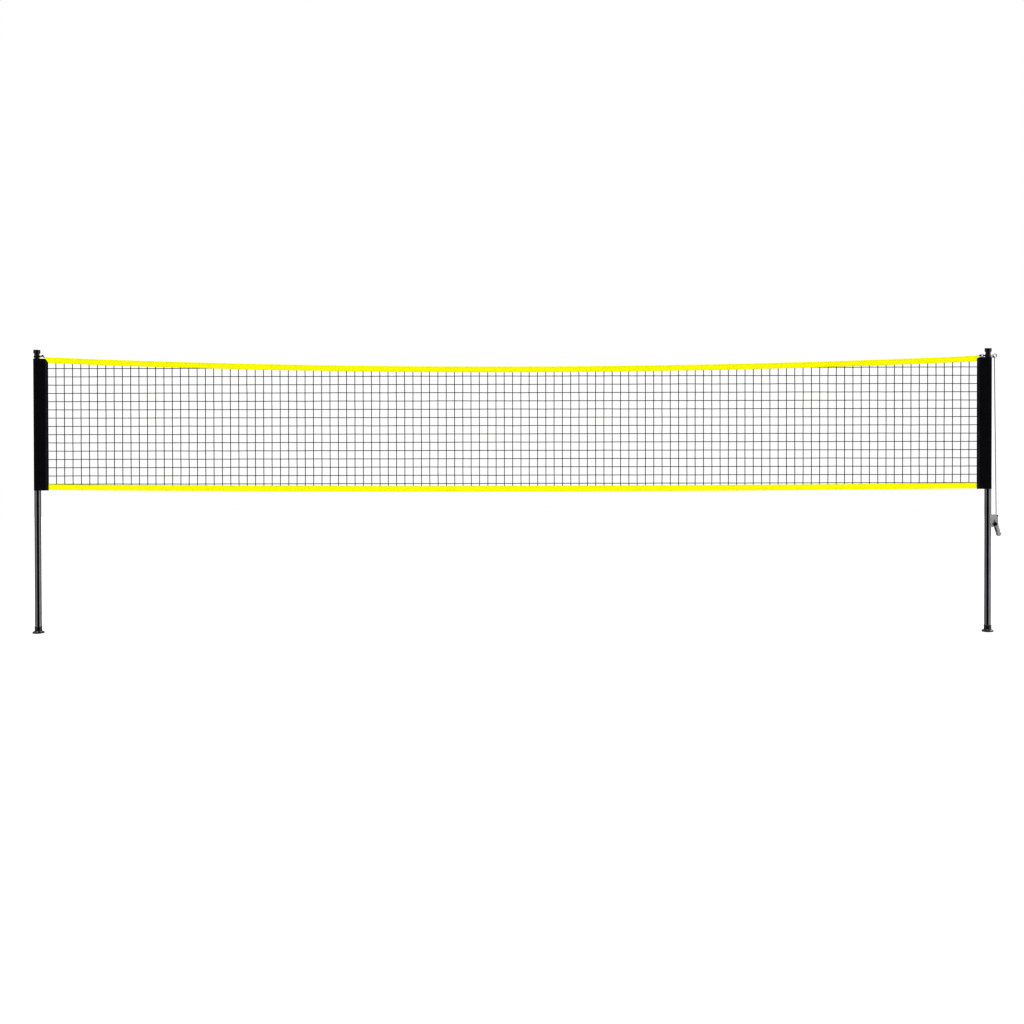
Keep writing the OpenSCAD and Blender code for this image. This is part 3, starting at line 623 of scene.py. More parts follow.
def coated_canvas(colours):
    """Yellow PVC-coated canvas: one strong colour, a soft shine, the weave just under the coat and painted
    shade between its threads.
    """
    material, tree, bsdf = shader("Yellow PVC-Coated Canvas", 0.0, 0.6, Specular_IOR_Level=0.12)
    uv = add(tree, "ShaderNodeUVMap", {"uv_map": "surface"}).outputs["UV"]
    # The base cloth has a thread every 1.2 mm.
    weave = weave_height(tree, uv, 1.2 * MM)
    soil = add(tree, "ShaderNodeTexNoise", {"Scale": 7.0, "Detail": 7.0}, {"Vector": uv}).outputs["Fac"]
    dirt = add(
        tree,
        "ShaderNodeMapRange",
        {"From Min": 0.4, "From Max": 0.8, "To Min": 0.0, "To Max": 0.7},
        {"Value": soil},
    )
    # Between the threads the yellow goes towards the handled colour: painted shade in the weave's hollows.
    # The dirt above is real.
    thread_gap_shade = add(
        tree,
        "ShaderNodeMapRange",
        {"From Min": 0.2, "From Max": 1.0, "To Min": 0.35, "To Max": 0.0},
        {"Value": weave},
    )
    soil_plus_shade = add(
        tree,
        "ShaderNodeMath",
        {"operation": "MAXIMUM"},
        {0: dirt.outputs["Result"], 1: thread_gap_shade.outputs["Result"]},
    )
    add(
        tree,
        "ShaderNodeMix",
        {"data_type": "RGBA", 6: linear(colours.tape_colour), 7: linear(colours.tape_dirt_and_shade)},
        {0: soil_plus_shade.outputs[0]},
        {2: bsdf.inputs["Base Color"]},
    )
    add(
        tree,
        "ShaderNodeMapRange",
        {"From Min": 0.3, "From Max": 0.7, "To Min": 0.36, "To Max": 0.55},
        {"Value": soil},
        {"Result": bsdf.inputs["Roughness"]},
    )
    add(
        tree,
        "ShaderNodeBump",
        {"Strength": 0.3, "Distance": 0.12 * MM},
        {"Height": weave},
        {"Normal": bsdf.inputs["Normal"]},
    )
    return material


def braided_cord(name, dark, light, strands, pitch):
    """A dull round braid with a slight sheen and painted shade between its strands: two sets of strands
    cross, with two crowns in each pitch.
    """
    material, tree, bsdf = shader(name, 0.0, 0.72, Sheen_Weight=0.2, Sheen_Roughness=0.5)
    uv = add(tree, "ShaderNodeUVMap", {"uv_map": "surface"})
    parts = add(tree, "ShaderNodeSeparateXYZ", links={"Vector": uv.outputs["UV"]})
    turns = []
    for axis, rate in (("X", 2 * math.pi * strands), ("Y", 2 * math.pi / pitch)):
        turn = add(tree, "ShaderNodeMath", {"operation": "MULTIPLY", 1: rate}, {0: parts.outputs[axis]})
        turns.append(turn.outputs[0])
    crowns = []
    for operation in ("ADD", "SUBTRACT"):
        phase = add(tree, "ShaderNodeMath", {"operation": operation}, {0: turns[0], 1: turns[1]})
        wave = add(tree, "ShaderNodeMath", {"operation": "SINE"}, {0: phase.outputs[0]})
        crown = add(tree, "ShaderNodeMath", {"operation": "ABSOLUTE"}, {0: wave.outputs[0]})
        crowns.append(crown.outputs[0])
    product = add(tree, "ShaderNodeMath", {"operation": "MULTIPLY"}, {0: crowns[0], 1: crowns[1]})
    height = product.outputs[0]
    # The hollows between the strands take the darker colour: painted shade, laid by the same height as the
    # bump.
    add(
        tree,
        "ShaderNodeMix",
        {"data_type": "RGBA", 6: linear(dark), 7: linear(light)},
        {0: height},
        {2: bsdf.inputs["Base Color"]},
    )
    add(
        tree,
        "ShaderNodeBump",
        {"Strength": 0.8, "Distance": 0.5 * MM},
        {"Height": height},
        {"Normal": bsdf.inputs["Normal"]},
    )
    return material


def plated_steel(name, dark, light, roughness, grain):
    """Steel, plated, hardened or turned: soft brightness with fine grain and a few duller patches."""
    material, tree, bsdf = shader(name, 1.0, roughness)
    place = add(tree, "ShaderNodeTexCoord").outputs["Object"]
    # Patches are about 9 mm across, and the grain under 0.5 mm.
    mottled = add(tree, "ShaderNodeTexNoise", {"Scale": 110.0, "Detail": 5.0}, {"Vector": place})
    patches = mottled.outputs["Fac"]
    add(
        tree,
        "ShaderNodeMix",
        {"data_type": "RGBA", 6: linear(dark), 7: linear(light)},
        {0: patches},
        {2: bsdf.inputs["Base Color"]},
    )
    add(
        tree,
        "ShaderNodeMapRange",
        {"From Min": 0.3, "From Max": 0.7, "To Min": roughness - 0.08, "To Max": roughness + 0.1},
        {"Value": patches},
        {"Result": bsdf.inputs["Roughness"]},
    )
    fine = add(tree, "ShaderNodeTexNoise", {"Scale": grain, "Detail": 2.0}, {"Vector": place})
    add(
        tree,
        "ShaderNodeBump",
        {"Strength": 0.15, "Distance": 0.05 * MM},
        {"Height": fine.outputs["Fac"]},
        {"Normal": bsdf.inputs["Normal"]},
    )
    return material


def bright_zinc():
    """The zinc plating that the ring, the hook's gate and the tensioner's small parts share."""
    name = "Bright Zinc-Plated Steel"
    return bpy.data.materials.get(name) or plated_steel(name, "#e4e6e8", "#f8f8f8", 0.34, 3000.0)


def galvanised_sheet(colours):
    """Hot-dip galvanised steel: frozen zinc flowers, each with its own shade and dullness."""
    material, tree, bsdf = shader("Hot-Dip Galvanised Steel", 0.7, 0.4)
    place = add(tree, "ShaderNodeTexCoord").outputs["Object"]
    # A zinc flower is about 5 mm across, and its edges waver by about 1 mm.
    warp = add(tree, "ShaderNodeTexNoise", {"Scale": 90.0, "Detail": 3.0}, {"Vector": place})
    bent = add(
        tree,
        "ShaderNodeVectorMath",
        {"operation": "MULTIPLY_ADD", 1: (0.006, 0.006, 0.006)},
        {0: warp.outputs["Color"], 2: place},
    )
    flowers = add(
        tree, "ShaderNodeTexVoronoi", {"Scale": 210.0, "Randomness": 1.0}, {"Vector": bent.outputs[0]}
    )
    shade = add(tree, "ShaderNodeSeparateColor", links={"Color": flowers.outputs["Color"]})
    add(
        tree,
        "ShaderNodeMix",
        {"data_type": "RGBA", 6: linear(colours.zinc_dark), 7: linear(colours.zinc_light)},
        {0: shade.outputs["Red"]},
        {2: bsdf.inputs["Base Color"]},
    )
    add(
        tree,
        "ShaderNodeMapRange",
        {"From Min": 0.0, "From Max": 1.0, "To Min": 0.28, "To Max": 0.55},
        {"Value": shade.outputs["Green"]},
        {"Result": bsdf.inputs["Roughness"]},
    )
    add(
        tree,
        "ShaderNodeBump",
        {"Strength": 0.2, "Distance": 0.1 * MM},
        {"Height": warp.outputs["Fac"]},
        {"Normal": bsdf.inputs["Normal"]},
    )
    return material


def grained_polymer(name, colour, wear_and_highlight_colour, roughness, grain, depth):
    """A moulded, enamelled or powder-coated skin: one colour with an even fine texture."""
    material, tree, bsdf = shader(name, 0.0, roughness, IOR=1.5)
    place = add(tree, "ShaderNodeTexCoord").outputs["Object"]
    texture = add(tree, "ShaderNodeTexNoise", {"Scale": grain, "Detail": 2.0}, {"Vector": place})
    worn = add(tree, "ShaderNodeTexNoise", {"Scale": 70.0, "Detail": 6.0}, {"Vector": place})
    paler = add(
        tree,
        "ShaderNodeMapRange",
        {"From Min": 0.4, "From Max": 0.8, "To Min": 0.0, "To Max": 1.0},
        {"Value": worn.outputs["Fac"]},
    )
    add(
        tree,
        "ShaderNodeMix",
        {"data_type": "RGBA", 6: linear(colour), 7: linear(wear_and_highlight_colour)},
        {0: paler.outputs["Result"]},
        {2: bsdf.inputs["Base Color"]},
    )
    add(
        tree,
        "ShaderNodeBump",
        {"Strength": 0.3, "Distance": depth},
        {"Height": texture.outputs["Fac"]},
        {"Normal": bsdf.inputs["Normal"]},
    )
    return material


def thread(name, colour):
    """Bonded polyester sewing thread: fine, with a dull shine."""
    material, _, _ = shader(name, 0.0, 0.6, colour, Sheen_Weight=0.3)
    return material


def dress(material, *nodes):
    """Gives nodes of the frame their finish."""
    for node in nodes:
        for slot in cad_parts[node].material_slots:
            slot.material = material


# ---------- shapes that several pieces share ----------


def sag_at(x, end_z, sag):
    """Height at x of an edge that hangs between the sleeves as a shallow arc."""
    return end_z - sag * (1 - (x / NET_EDGE) ** 2)


def top_edge(sizes, x):
    """Height of the top tape's upper edge."""
    return sag_at(x, sizes.top_tape_end, sizes.top_sag)


def low_edge(sizes, x):
    """Height of the bottom tape's lower edge."""
    return sag_at(x, sizes.bottom_tape_end, sizes.bottom_sag)


def sleeve_top(x):
    """Height of a sleeve's top edge: it falls away at the net's side, where the tape's tip comes out."""
    drop, run = (30 * MM if x < 0 else 8 * MM), 26 * MM
    return SLEEVE_HIGH.z - drop * min(max(NET_EDGE + run - abs(x), 0.0) / run, 1.0)


def polar_point(centre, r, degrees):
    """A point round a centre in the upright plane of the net, turned from +X towards +Z."""
    a = math.radians(degrees)
    return centre + Vector((r * math.cos(a), 0, r * math.sin(a)))


# ---------- properties ----------


def length(name, about, default, low, high):
    """A property in metres."""
    return bpy.props.FloatProperty(
        name=name, description=about, default=default, min=low, max=high, unit="LENGTH", precision=4
    )


def angle(name, about, default):
    """A property in radians."""
    return bpy.props.FloatProperty(
        name=name, description=about, default=default, unit="ROTATION", precision=4
    )


def hex_colour(name, about, default):
    """A colour property, kept as its sRGB hex code."""
    return bpy.props.StringProperty(
        name=name, description=about + ", as an sRGB hex code", default=default
    )


class NetSizes(bpy.types.PropertyGroup):
    """Sizes of the net's cloth, cords and mesh"""

    columns: bpy.props.IntProperty(
        name="Columns", description="Squares of the mesh along the net", default=112, min=20
    )
    rows: bpy.props.IntProperty(name="Rows", description="Level twines of the mesh", default=15, min=4)
    top_tape_end: length("Top Tape Height", "Top edge of the top tape at the sleeves", 2.449, 2.0, 2.6)
    top_sag: length("Top Sag", "How far the top tape sags at mid-net", 0.089, 0.0, 0.2)
    bottom_tape_end: length(
        "Bottom Tape Height", "Lower edge of the bottom tape at the sleeves", 1.272, 1.0, 1.6
    )
    bottom_sag: length("Bottom Sag", "How far the bottom tape sags at mid-net", 0.022, 0.0, 0.1)
    tape_width: length("Tape Width", "Width of a folded tape", 0.05, 0.03, 0.1)
    tape_cloth: length("Tape Cloth", "Thickness of a tape's cloth", 0.0011, 0.0005, 0.003)
    sleeve_cloth: length("Sleeve Cloth", "Thickness of a sleeve's cloth", 0.0013, 0.0005, 0.003)
    rope_diameter: length("Rope Diameter", "Diameter of the net's edge rope", 0.006, 0.003, 0.012)
    cord_diameter: length("Cord Diameter", "Diameter of the tension cord", 0.0052, 0.003, 0.008)
    # The twine's solid is 4.4 mm thick. Twine and knots are drawn thicker than that so that they show.
    twine_diameter: length("Twine Diameter", "Diameter of the mesh's twine", 0.0059, 0.002, 0.008)
    knot_width: length("Knot Width", "Width of a mesh knot", 0.0098, 0.004, 0.015)
    stitch_pitch: length("Stitch Pitch", "From one stitch to the next", 0.0075, 0.003, 0.02)


class NetColours(bpy.types.PropertyGroup):
    """Colours of the net's cloth, cords and metal"""

    tape_colour: hex_colour("Tape", "Coated canvas of the tapes", "#fafa00")
    # Real dirt where hands have been; between the threads this colour is painted shade.
    tape_dirt_and_shade: hex_colour(
        "Tape, Handled", "The same where hands have been and between threads", "#ecea04"
    )
    # Painted shade in the hollows between the threads.
    sleeve_hollow_shade: hex_colour("Sleeve, Hollows", "Between the threads of the sleeves' cloth", "#08080e")
    sleeve_light: hex_colour("Sleeve", "Threads of the sleeves' cloth", "#22222e")
    # A painted highlight: the light that the raised welt beside the net catches.
    sleeve_welt_highlight: hex_colour("Sleeve, Rubbed", "The same on the rubbed welt beside the net", "#4a4955")
    # Painted shade in the hollows between the twine's strands.
    twine_hollow_shade: hex_colour("Twine, Hollows", "Between the strands of the twine", "#101010")
    twine_light: hex_colour("Twine", "Strands of the twine", "#303030")
    # Painted shade in the hollows between the rope's strands.
    rope_hollow_shade: hex_colour("Rope, Hollows", "Between the strands of the rope", "#050505")
    rope_light: hex_colour("Rope", "Strands of the rope", "#19191c")
    # Painted shade in the hollows between the cord's strands.
    cord_hollow_shade: hex_colour("Cord, Hollows", "Between the strands of the tension cord", "#2c2c2c")
    cord_light: hex_colour("Cord", "Strands of the tension cord", "#7c7c7c")
    pole_dark: hex_colour("Pole, Shade", "Darker film on the poles", "#b4b4b7")
    pole_light: hex_colour("Pole", "Anodised poles", "#cfcfd2")
    zinc_dark: hex_colour("Zinc, Dark", "Darkest zinc flowers", "#c4c5c7")
    zinc_light: hex_colour("Zinc, Light", "Lightest zinc flowers", "#f0f0ee")


class NetStage(bpy.types.PropertyGroup):
    """The camera, the light and the surroundings"""

    distance: length("Camera Distance", "From the camera to the net", 13.0, 5.0, 40.0)
    height: length("Camera Height", "Height of the camera", 1.9, 0.2, 6.0)
    middle: length("Picture Middle", "Height that the middle of the picture shows", 1.069, 0.2, 3.0)
    width: length("Picture Width", "Width that the picture shows at the net", 9.09, 2.0, 20.0)
    aside: length(
        "Picture Shift", "How far the middle of the picture lies beside the net's", -0.0055, -2.0, 2.0
    )
    pitch: angle("Pitch", "How far the camera looks down", 0.0123)
    roll: angle("Roll", "Turn of the camera about its view", 0.0018)
    contrast: bpy.props.FloatProperty(
        name="Contrast",
        description="Display gamma of the picture; less is harder",
        default=0.64,
        min=0.3,
        max=1,
    )
    fill: bpy.props.FloatProperty(
        name="Fill", description="Light from the white surroundings", default=0.55, min=0
    )
    lean: bpy.props.FloatProperty(
        name="Lean", description="How much more of the fill comes from the right", default=0.24
    )
    key: bpy.props.FloatProperty(
        name="Key Light", description="Strength of the front light", default=1.5, min=0
    )
    back: bpy.props.FloatProperty(
        name="Back Light", description="Strength of the rear light", default=1.5, min=0
    )
    flag_width: length("Flag Width", "Width of the black flags that the poles mirror", 11.0, 0.0, 30.0)
    flag_distance: length("Flag Distance", "From the net to each black flag", 7.0, 2.0, 30.0)


class NetLook(bpy.types.PropertyGroup):
    """All that a user may change"""

    sizes: bpy.props.PointerProperty(type=NetSizes)
    colours: bpy.props.PointerProperty(type=NetColours)
    stage: bpy.props.PointerProperty(type=NetStage)


# ---------- stage ----------


class NET_OT_stage(bpy.types.Operator):
    """Make the camera, the lights, the pale floor and the white surroundings"""

    bl_idname = "net.stage"
    bl_label = "Stage"

    def execute(self, context):
        given = context.scene.net_look.stage
        self.camera(context, given)
        self.sun(context, "key", given.key, azimuth=-25, rise=55)
        self.sun(context, "rear", given.back, azimuth=160, rise=45)
        self.surroundings(context, given.fill, given.lean)
        self.flags(given.flag_width / 2, given.flag_distance)
        self.floor()
        context.scene.view_settings.view_transform = "Standard"
        context.scene.view_settings.gamma = given.contrast
        return {"FINISHED"}

    def camera(self, context, given):
        """A camera before the net's middle; its shift sets the height that the picture's middle shows."""
        data = bpy.data.cameras.new("camera")
        data.sensor_width = 36.0
        data.lens = data.sensor_width * given.distance / given.width
        axis_height = given.height - given.distance * math.tan(given.pitch)
        data.shift_y = (given.middle - axis_height) / given.width
        data.shift_x = given.aside / given.width
        data.clip_end = 300.0
        camera = bpy.data.objects.new("camera", data)
        camera.location = (0, -given.distance, given.height)
        camera.rotation_euler = (math.pi / 2 - given.pitch, given.roll, 0)
        context.scene.collection.objects.link(camera)
        context.scene.camera = camera

    def sun(self, context, name, power, azimuth, rise):
        """A sun as broad as a soft box, from a side and a height in degrees."""
        lamp = bpy.data.lights.new(name, "SUN")
        lamp.energy, lamp.angle = power, math.radians(40)
        light = bpy.data.objects.new(name, lamp)
        a, e = math.radians(azimuth), math.radians(rise)
        towards = Vector((math.sin(a) * math.cos(e), -math.cos(a) * math.cos(e), math.sin(e)))
        light.rotation_euler = towards.to_track_quat("Z", "Y").to_euler()
        light.location = towards * 12
        context.scene.collection.objects.link(light)

    def surroundings(self, context, fill, lean):
        """White all round for the eye; the light on the net is softer, and stronger from its right."""
        world = bpy.data.worlds.new("white studio")
        context.scene.world = world
        world.use_nodes = True
        tree = world.node_tree
        tree.nodes.clear()
        place = add(tree, "ShaderNodeTexCoord")
        parts = add(tree, "ShaderNodeSeparateXYZ", links={"Vector": place.outputs["Generated"]})
        sided = add(
            tree,
            "ShaderNodeMapRange",
            {"From Min": -1.0, "From Max": 1.0, "To Min": fill * (1 - lean), "To Max": fill * (1 + lean)},
            {"Value": parts.outputs["X"]},
        )
        ray = add(tree, "ShaderNodeLightPath")
        level = add(
            tree,
            "ShaderNodeMix",
            {"data_type": "FLOAT", 3: 1.0},
            {0: ray.outputs["Is Camera Ray"], 2: sided.outputs["Result"]},
        )
        output = add(tree, "ShaderNodeOutputWorld")
        add(
            tree,
            "ShaderNodeBackground",
            {"Color": (1, 1, 1, 1)},
            {"Strength": level.outputs[0]},
            {"Background": output.inputs["Surface"]},
        )

    def flags(self, half, distance):
        """Black flags before and behind the net, seen by mirrors alone, that darken a line down each pole."""
        velvet, _, _ = shader("Black Flag Velvet", 0.0, 1.0, "#000000", Specular_IOR_Level=0.0)
        foot, head = -4, 7
        for name, y in (("front_flag", -distance), ("rear_flag", distance)):
            corners = [(-half, y, foot), (half, y, foot), (half, y, head), (-half, y, head)]
            flag = mesh_piece(name, corners, [(0, 1, 2, 3)], None, velvet)
            for rays in ("camera", "diffuse", "shadow", "transmission"):
                setattr(flag, "visible_" + rays, False)

    def floor(self):
        """A wide pale floor of smooth painted board."""
        material, tree, bsdf = shader("Pale Painted Floor", 0.0, 0.9, "#fbfbfb", Specular_IOR_Level=0.1)
        place = add(tree, "ShaderNodeTexCoord")
        # The paint's grain is about 3 mm across.
        grain = add(tree, "ShaderNodeTexNoise", {"Scale": 300.0}, {"Vector": place.outputs["Object"]})
        add(
            tree,
            "ShaderNodeBump",
            {"Strength": 0.05, "Distance": 0.1 * MM},
            {"Height": grain.outputs["Fac"]},
            {"Normal": bsdf.inputs["Normal"]},
        )
        radius, sides = 18, 36
        turns = [math.radians(360 * i / sides) for i in range(sides)]
        corners = [(radius * math.cos(a), radius * math.sin(a), 0) for a in turns]
        floor = mesh_piece("floor", corners, [tuple(range(sides))], None, material)
        floor.visible_glossy = False


# ---------- cords ----------


class NET_OT_cords(bpy.types.Operator):
    """Make the tension cord, the turns on the drum, the edge ropes and the left lashing"""

    bl_idname = "net.cords"
    bl_label = "Cords"

    # Where the cord comes down to the drum and goes round it, across the tensioner.
    fall_y = -8.7 * MM
    # The middle of an edge rope lies this far inside its tape's edge.
    rope_depth = 4.5 * MM
    # The lashing's knot, beside the left cap's neck.
    knot = Vector((-POLE_X + 52 * MM, 0, FITTING_Z + 14 * MM))

    def execute(self, context):
        look = context.scene.net_look
        sizes, colours = look.sizes, look.colours
        self.rope = braided_cord(
            "Black Braided Polyester Rope", colours.rope_hollow_shade, colours.rope_light, 4, 9 * MM
        )
        self.cord = braided_cord(
            "Grey Braided Polyester Cord", colours.cord_hollow_shade, colours.cord_light, 4, 8 * MM
        )
        self.rope_r = sizes.rope_diameter / 2
        self.cord_r = sizes.cord_diameter / 2
        # How far the cord's middle line stays from the drum's axis.
        self.wrap_r = DRUM_R + CLEAR + self.cord_r
        self.tension()
        self.wound_turns()
        self.head_rope(sizes)
        self.foot_rope(sizes)
        self.lashing()
        return {"FINISHED"}

    def eye(self, tubes, centre, rope_r, throat):
        """Two turns of rope that lie on each other as one level eye, bound at the throat's side."""
        sides = 28
        for lift in (-1.02, 1.02):
            points = [
                centre + Vector((EYE_R * math.cos(a), EYE_R * math.sin(a), lift * rope_r))
                for a in (math.radians(360 * i / sides) for i in range(sides))
            ]
            tubes.tube(points, rope_r, 12, (0, 0, 1), closed=True)
        bound = [centre + Vector((throat * (EYE_R + i * 0.4 * MM), 0, 0)) for i in range(9)]
        tubes.tube(bound, lambda t: rope_r * (1.5 + 0.25 * math.sin(math.pi * t)), 14, (0, 1, 0))

    def tension(self):
        """From the hook's eye through the stem, a turn on the ring, down to the drum and round it."""
        ring = Vector((RING_HIGH.x - RING_R - RING_BAR / 2, 0, FITTING_Z))
        eye_x = HOOK_HIGH.x - HOOK_BAR - CLEAR - self.cord_r + EYE_R
        hitch_r = RING_BAR / 2 + CLEAR + self.cord_r

        def hitch(f):
            """A turn and a quarter about the ring's bar that works its way down the ring."""
            wind, at = math.radians(180 + 450 * f), math.radians(183 + 67 * math.sqrt(f))
            reach = RING_R + hitch_r * math.cos(wind)
            return ring + Vector((reach * math.cos(at), hitch_r * math.sin(wind), reach * math.sin(at)))

        stem_mouth = ring.x - RING_R + 4 * MM
        route = [Vector((eye_x + EYE_R, 0, FITTING_Z)), Vector((stem_mouth, 0, FITTING_Z))]
        # The hitch's first steps lie inside the stem, so the route goes without them.
        steps = 78
        route += [hitch(i / steps) for i in range(3, steps + 1)]
        end = hitch(1)
        fall = end + Vector((0.8 * MM, self.fall_y + hitch_r, -14 * MM))
        touch = DRUM + Vector((self.wrap_r, self.fall_y, 0))
        route += [end + Vector((0.2 * MM, -1 * MM, -5 * MM)), fall]
        route += [fall.lerp(touch, i / 60) for i in range(1, 60)]
        middle = DRUM + Vector((0, self.fall_y, 0))
        route += [polar_point(middle, self.wrap_r, -a) for a in range(0, 201, 8)]
        line, bound = Tubes(), Tubes()
        line.tube(route, self.cord_r, 12)
        braid = settle(line.piece("tension_cord_braid", self.cord), "tension_cord", slot="tension_rope")
        self.eye(bound, Vector((eye_x, 0, FITTING_Z)), self.cord_r, 1)
        eye = settle(bound.piece("tension_cord_eye", self.cord), slot="tension_rope")

    def wound_turns(self):
        """Two turns of the tension cord side by side on the drum, next to where it comes down."""
        diameter = 2 * self.cord_r
        pitch = diameter + 2 * CLEAR
        first = self.fall_y + diameter + CLEAR + pitch / 8
        turns, steps = 2, 40
        coil = [
            polar_point(DRUM + Vector((0, first + pitch * i / steps, 0)), self.wrap_r, -360 * i / steps)
            for i in range(turns * steps + 1)
        ]
        tubes = Tubes()
        tubes.tube(coil, self.cord_r, 12)
        settle(tubes.piece("drum_turns", self.cord), "wound_cord", body="drum", slot="tension_rope")

    def head_rope(self, sizes):
        """The rope in the top tape's fold, from the lashing's knot to its own eye at the snap hook."""
        r, steps = self.rope_r, 200
        eye_x = HOOK_LOW.x + HOOK_BAR + CLEAR + r - EYE_R
        left, right = TAPE_LOW.x, TAPE_HIGH.x - 4 * MM
        xs = [left + (right - left) * i / steps for i in range(steps + 1)]
        line = [Vector((x, 0, top_edge(sizes, x) - self.rope_depth)) for x in xs]
        start = self.knot + (line[0] - self.knot).normalized() * MM
        tubes = Tubes()
        tubes.tube([start] + line + [Vector((eye_x - EYE_R, 0, FITTING_Z))], r, 12)
        self.eye(tubes, Vector((eye_x, 0, FITTING_Z)), r, -1)
        settle(tubes.piece("head_rope", self.rope), "head_cord", slot="black_rope")

    def foot_rope(self, sizes):
        """The rope in the bottom tape's fold, whose ends go a little way into the sleeves."""
        ends, steps = NET_EDGE + 12 * MM, 160
        line = []
        for i in range(steps + 1):
            x = -ends + 2 * ends * i / steps
            line.append(Vector((x, 0, low_edge(sizes, min(abs(x), NET_EDGE)) + self.rope_depth)))
        tubes = Tubes()
        tubes.tube(line, self.rope_r, 10)
        settle(tubes.piece("foot_rope", self.rope), "foot_cord", slot="black_rope")

    def lashing(self):
        """Two turns round the left neck whose ends meet in an overhand knot, with a short tail."""
        r, steps = self.rope_r, 60
        loop_r = CAP_NECK_R + CLEAR + r
        centre = Vector((-POLE_X, 0, FITTING_Z + 4 * MM))
        # The turns leave an opening towards the knot, this many degrees either side of it.
        opening = 58
        turns = []
        for i in range(steps + 1):
            a = math.radians(opening + (720 - 2 * opening) * i / steps)
            rise = -r * 1.02 + 2.04 * r * i / steps
            turns.append(centre + Vector((loop_r * math.cos(a), loop_r * math.sin(a), rise)))
        lead_in = [self.by_knot(-4, 4, -2), self.by_knot(-13, 10, -9)]
        lead_out = [self.by_knot(-13, -10, -3), self.by_knot(-4, -4, 1)]
        # The rope is pulled a little thinner, most of all in its knot.
        tubes = Tubes()
        tubes.tube(smooth_path(lead_in + turns[2:-2:3] + lead_out, 4), r * 0.96, 10, (0, 0, 1))
        tubes.tube(self.overhand(60), r * 0.86, 10, (1, 0, 0), closed=True)
        tail = [self.by_knot(*p) for p in ((1, 3, -3), (2, 7, -7), (3, 10, -11), (4, 12, -15))]
        tubes.tube(smooth_path(tail, 4), r * 0.9, 10)
        settle(tubes.piece("neck_lashing", self.rope), "left_lashing", slot="black_rope")

    def by_knot(self, x, y, z):
        """A point given in millimetres from the lashing's knot."""
        return self.knot + Vector((x * MM, y * MM, z * MM))

    def overhand(self, steps):
        """The closed line of an overhand knot, seen along X."""
        line = []
        for i in range(steps):
            t = 2 * math.pi * i / steps
            x = math.sin(t) + 2 * math.sin(2 * t)
            y = math.cos(t) - 2 * math.cos(2 * t)
            z = -math.sin(3 * t)
            line.append(self.by_knot(z * 3.1, x * 1.9, y * 1.9))
        return line


def smooth_path(points, steps):
    """A smooth line through points, with the given number of steps between each two."""
    line = []
    for i in range(len(points) - 1):
        before, here = points[max(i - 1, 0)], points[i]
        there, after = points[i + 1], points[min(i + 2, len(points) - 1)]
        for k in range(steps):
            t = k / steps
            line.append(
                0.5
                * (
                    2 * here
                    + (there - before) * t
                    + (2 * before - 5 * here + 4 * there - after) * t**2
                    + (3 * here - before - 3 * there + after) * t**3
                )
            )
    return line + [points[-1]]


# ---------- mesh ----------


class NET_OT_twines(bpy.types.Operator):
    """Make the upright and level twines and the knot at each crossing"""

    bl_idname = "net.twines"
    bl_label = "Twines and Knots"

    # How far an upright twine's ends stay from the tapes' outer edges.
    in_tape = 10.8 * MM
    sides = 6
    # Fixes the crossings' shifts: unseeded, noise_vector takes its seed from the clock.
    seed = 7

    def execute(self, context):
        look = context.scene.net_look
        sizes, colours = look.sizes, look.colours
        twine = braided_cord(
            "Black Braided Nylon Twine", colours.twine_hollow_shade, colours.twine_light, 3, 5 * MM
        )
        r = sizes.twine_diameter / 2
        half_twine = (ROWS_HIGH.y - ROWS_LOW.y) / 2
        span = (COLUMNS_HIGH.x - COLUMNS_LOW.x) / 2 - half_twine
        xs = [-span + 2 * span * i / sizes.columns for i in range(sizes.columns + 1)]
        top, bottom = ROWS_HIGH.z - half_twine, ROWS_LOW.z + half_twine
        zs = [top + (bottom - top) * i / (sizes.rows - 1) for i in range(sizes.rows)]
        noise.seed_set(self.seed)
        places = {(i, k): self.crossing(x, z, i, k) for i, x in enumerate(xs) for k, z in enumerate(zs)}
        upright = Tubes()
        for i, x in enumerate(xs):
            edge = min(abs(x), NET_EDGE)
            high = Vector((x, 0, top_edge(sizes, edge) - self.in_tape))
            low = Vector((x, 0, low_edge(sizes, edge) + self.in_tape))
            line = [places[i, k] for k in reversed(range(len(zs)))]
            upright.tube([low] + line + [high], r, self.sides)
        settle(upright.piece("upright_twines", twine), "vertical_twines", slot="net_twine")
        level = Tubes()
        out = ROWS_HIGH.x
        for k, z in enumerate(zs):
            line = [places[i, k] for i in range(len(xs))]
            level.tube([Vector((-out, 0, z))] + line + [Vector((out, 0, z))], r, self.sides)
        settle(level.piece("level_twine_rows", twine), "level_twines", slot="net_twine")
        quarter = (xs[1] - xs[0]) / 4
        inside = [p for (i, _), p in places.items() if abs(xs[i]) < NET_EDGE - quarter]
        values = {
            "Knot Width": sizes.knot_width,
            "Knot Height": sizes.knot_width,
            "Knot Depth": sizes.knot_width * 0.8,
        }
        knots = grown("mesh_knots", bare_mesh("crossings", inside), knot_tree(), twine, values)
        settle(knots, slot="net_twine")
        return {"FINISHED"}

    def crossing(self, x, z, i, k):
        """Where two twines cross, up to 1.6 mm off the true grid."""
        shift = noise.noise_vector(Vector((i * 0.37, k * 0.53, 4.1))) * 1.6 * MM
        return Vector((x + shift.x, shift.y * 0.5, z + shift.z))


# ---------- tapes ----------


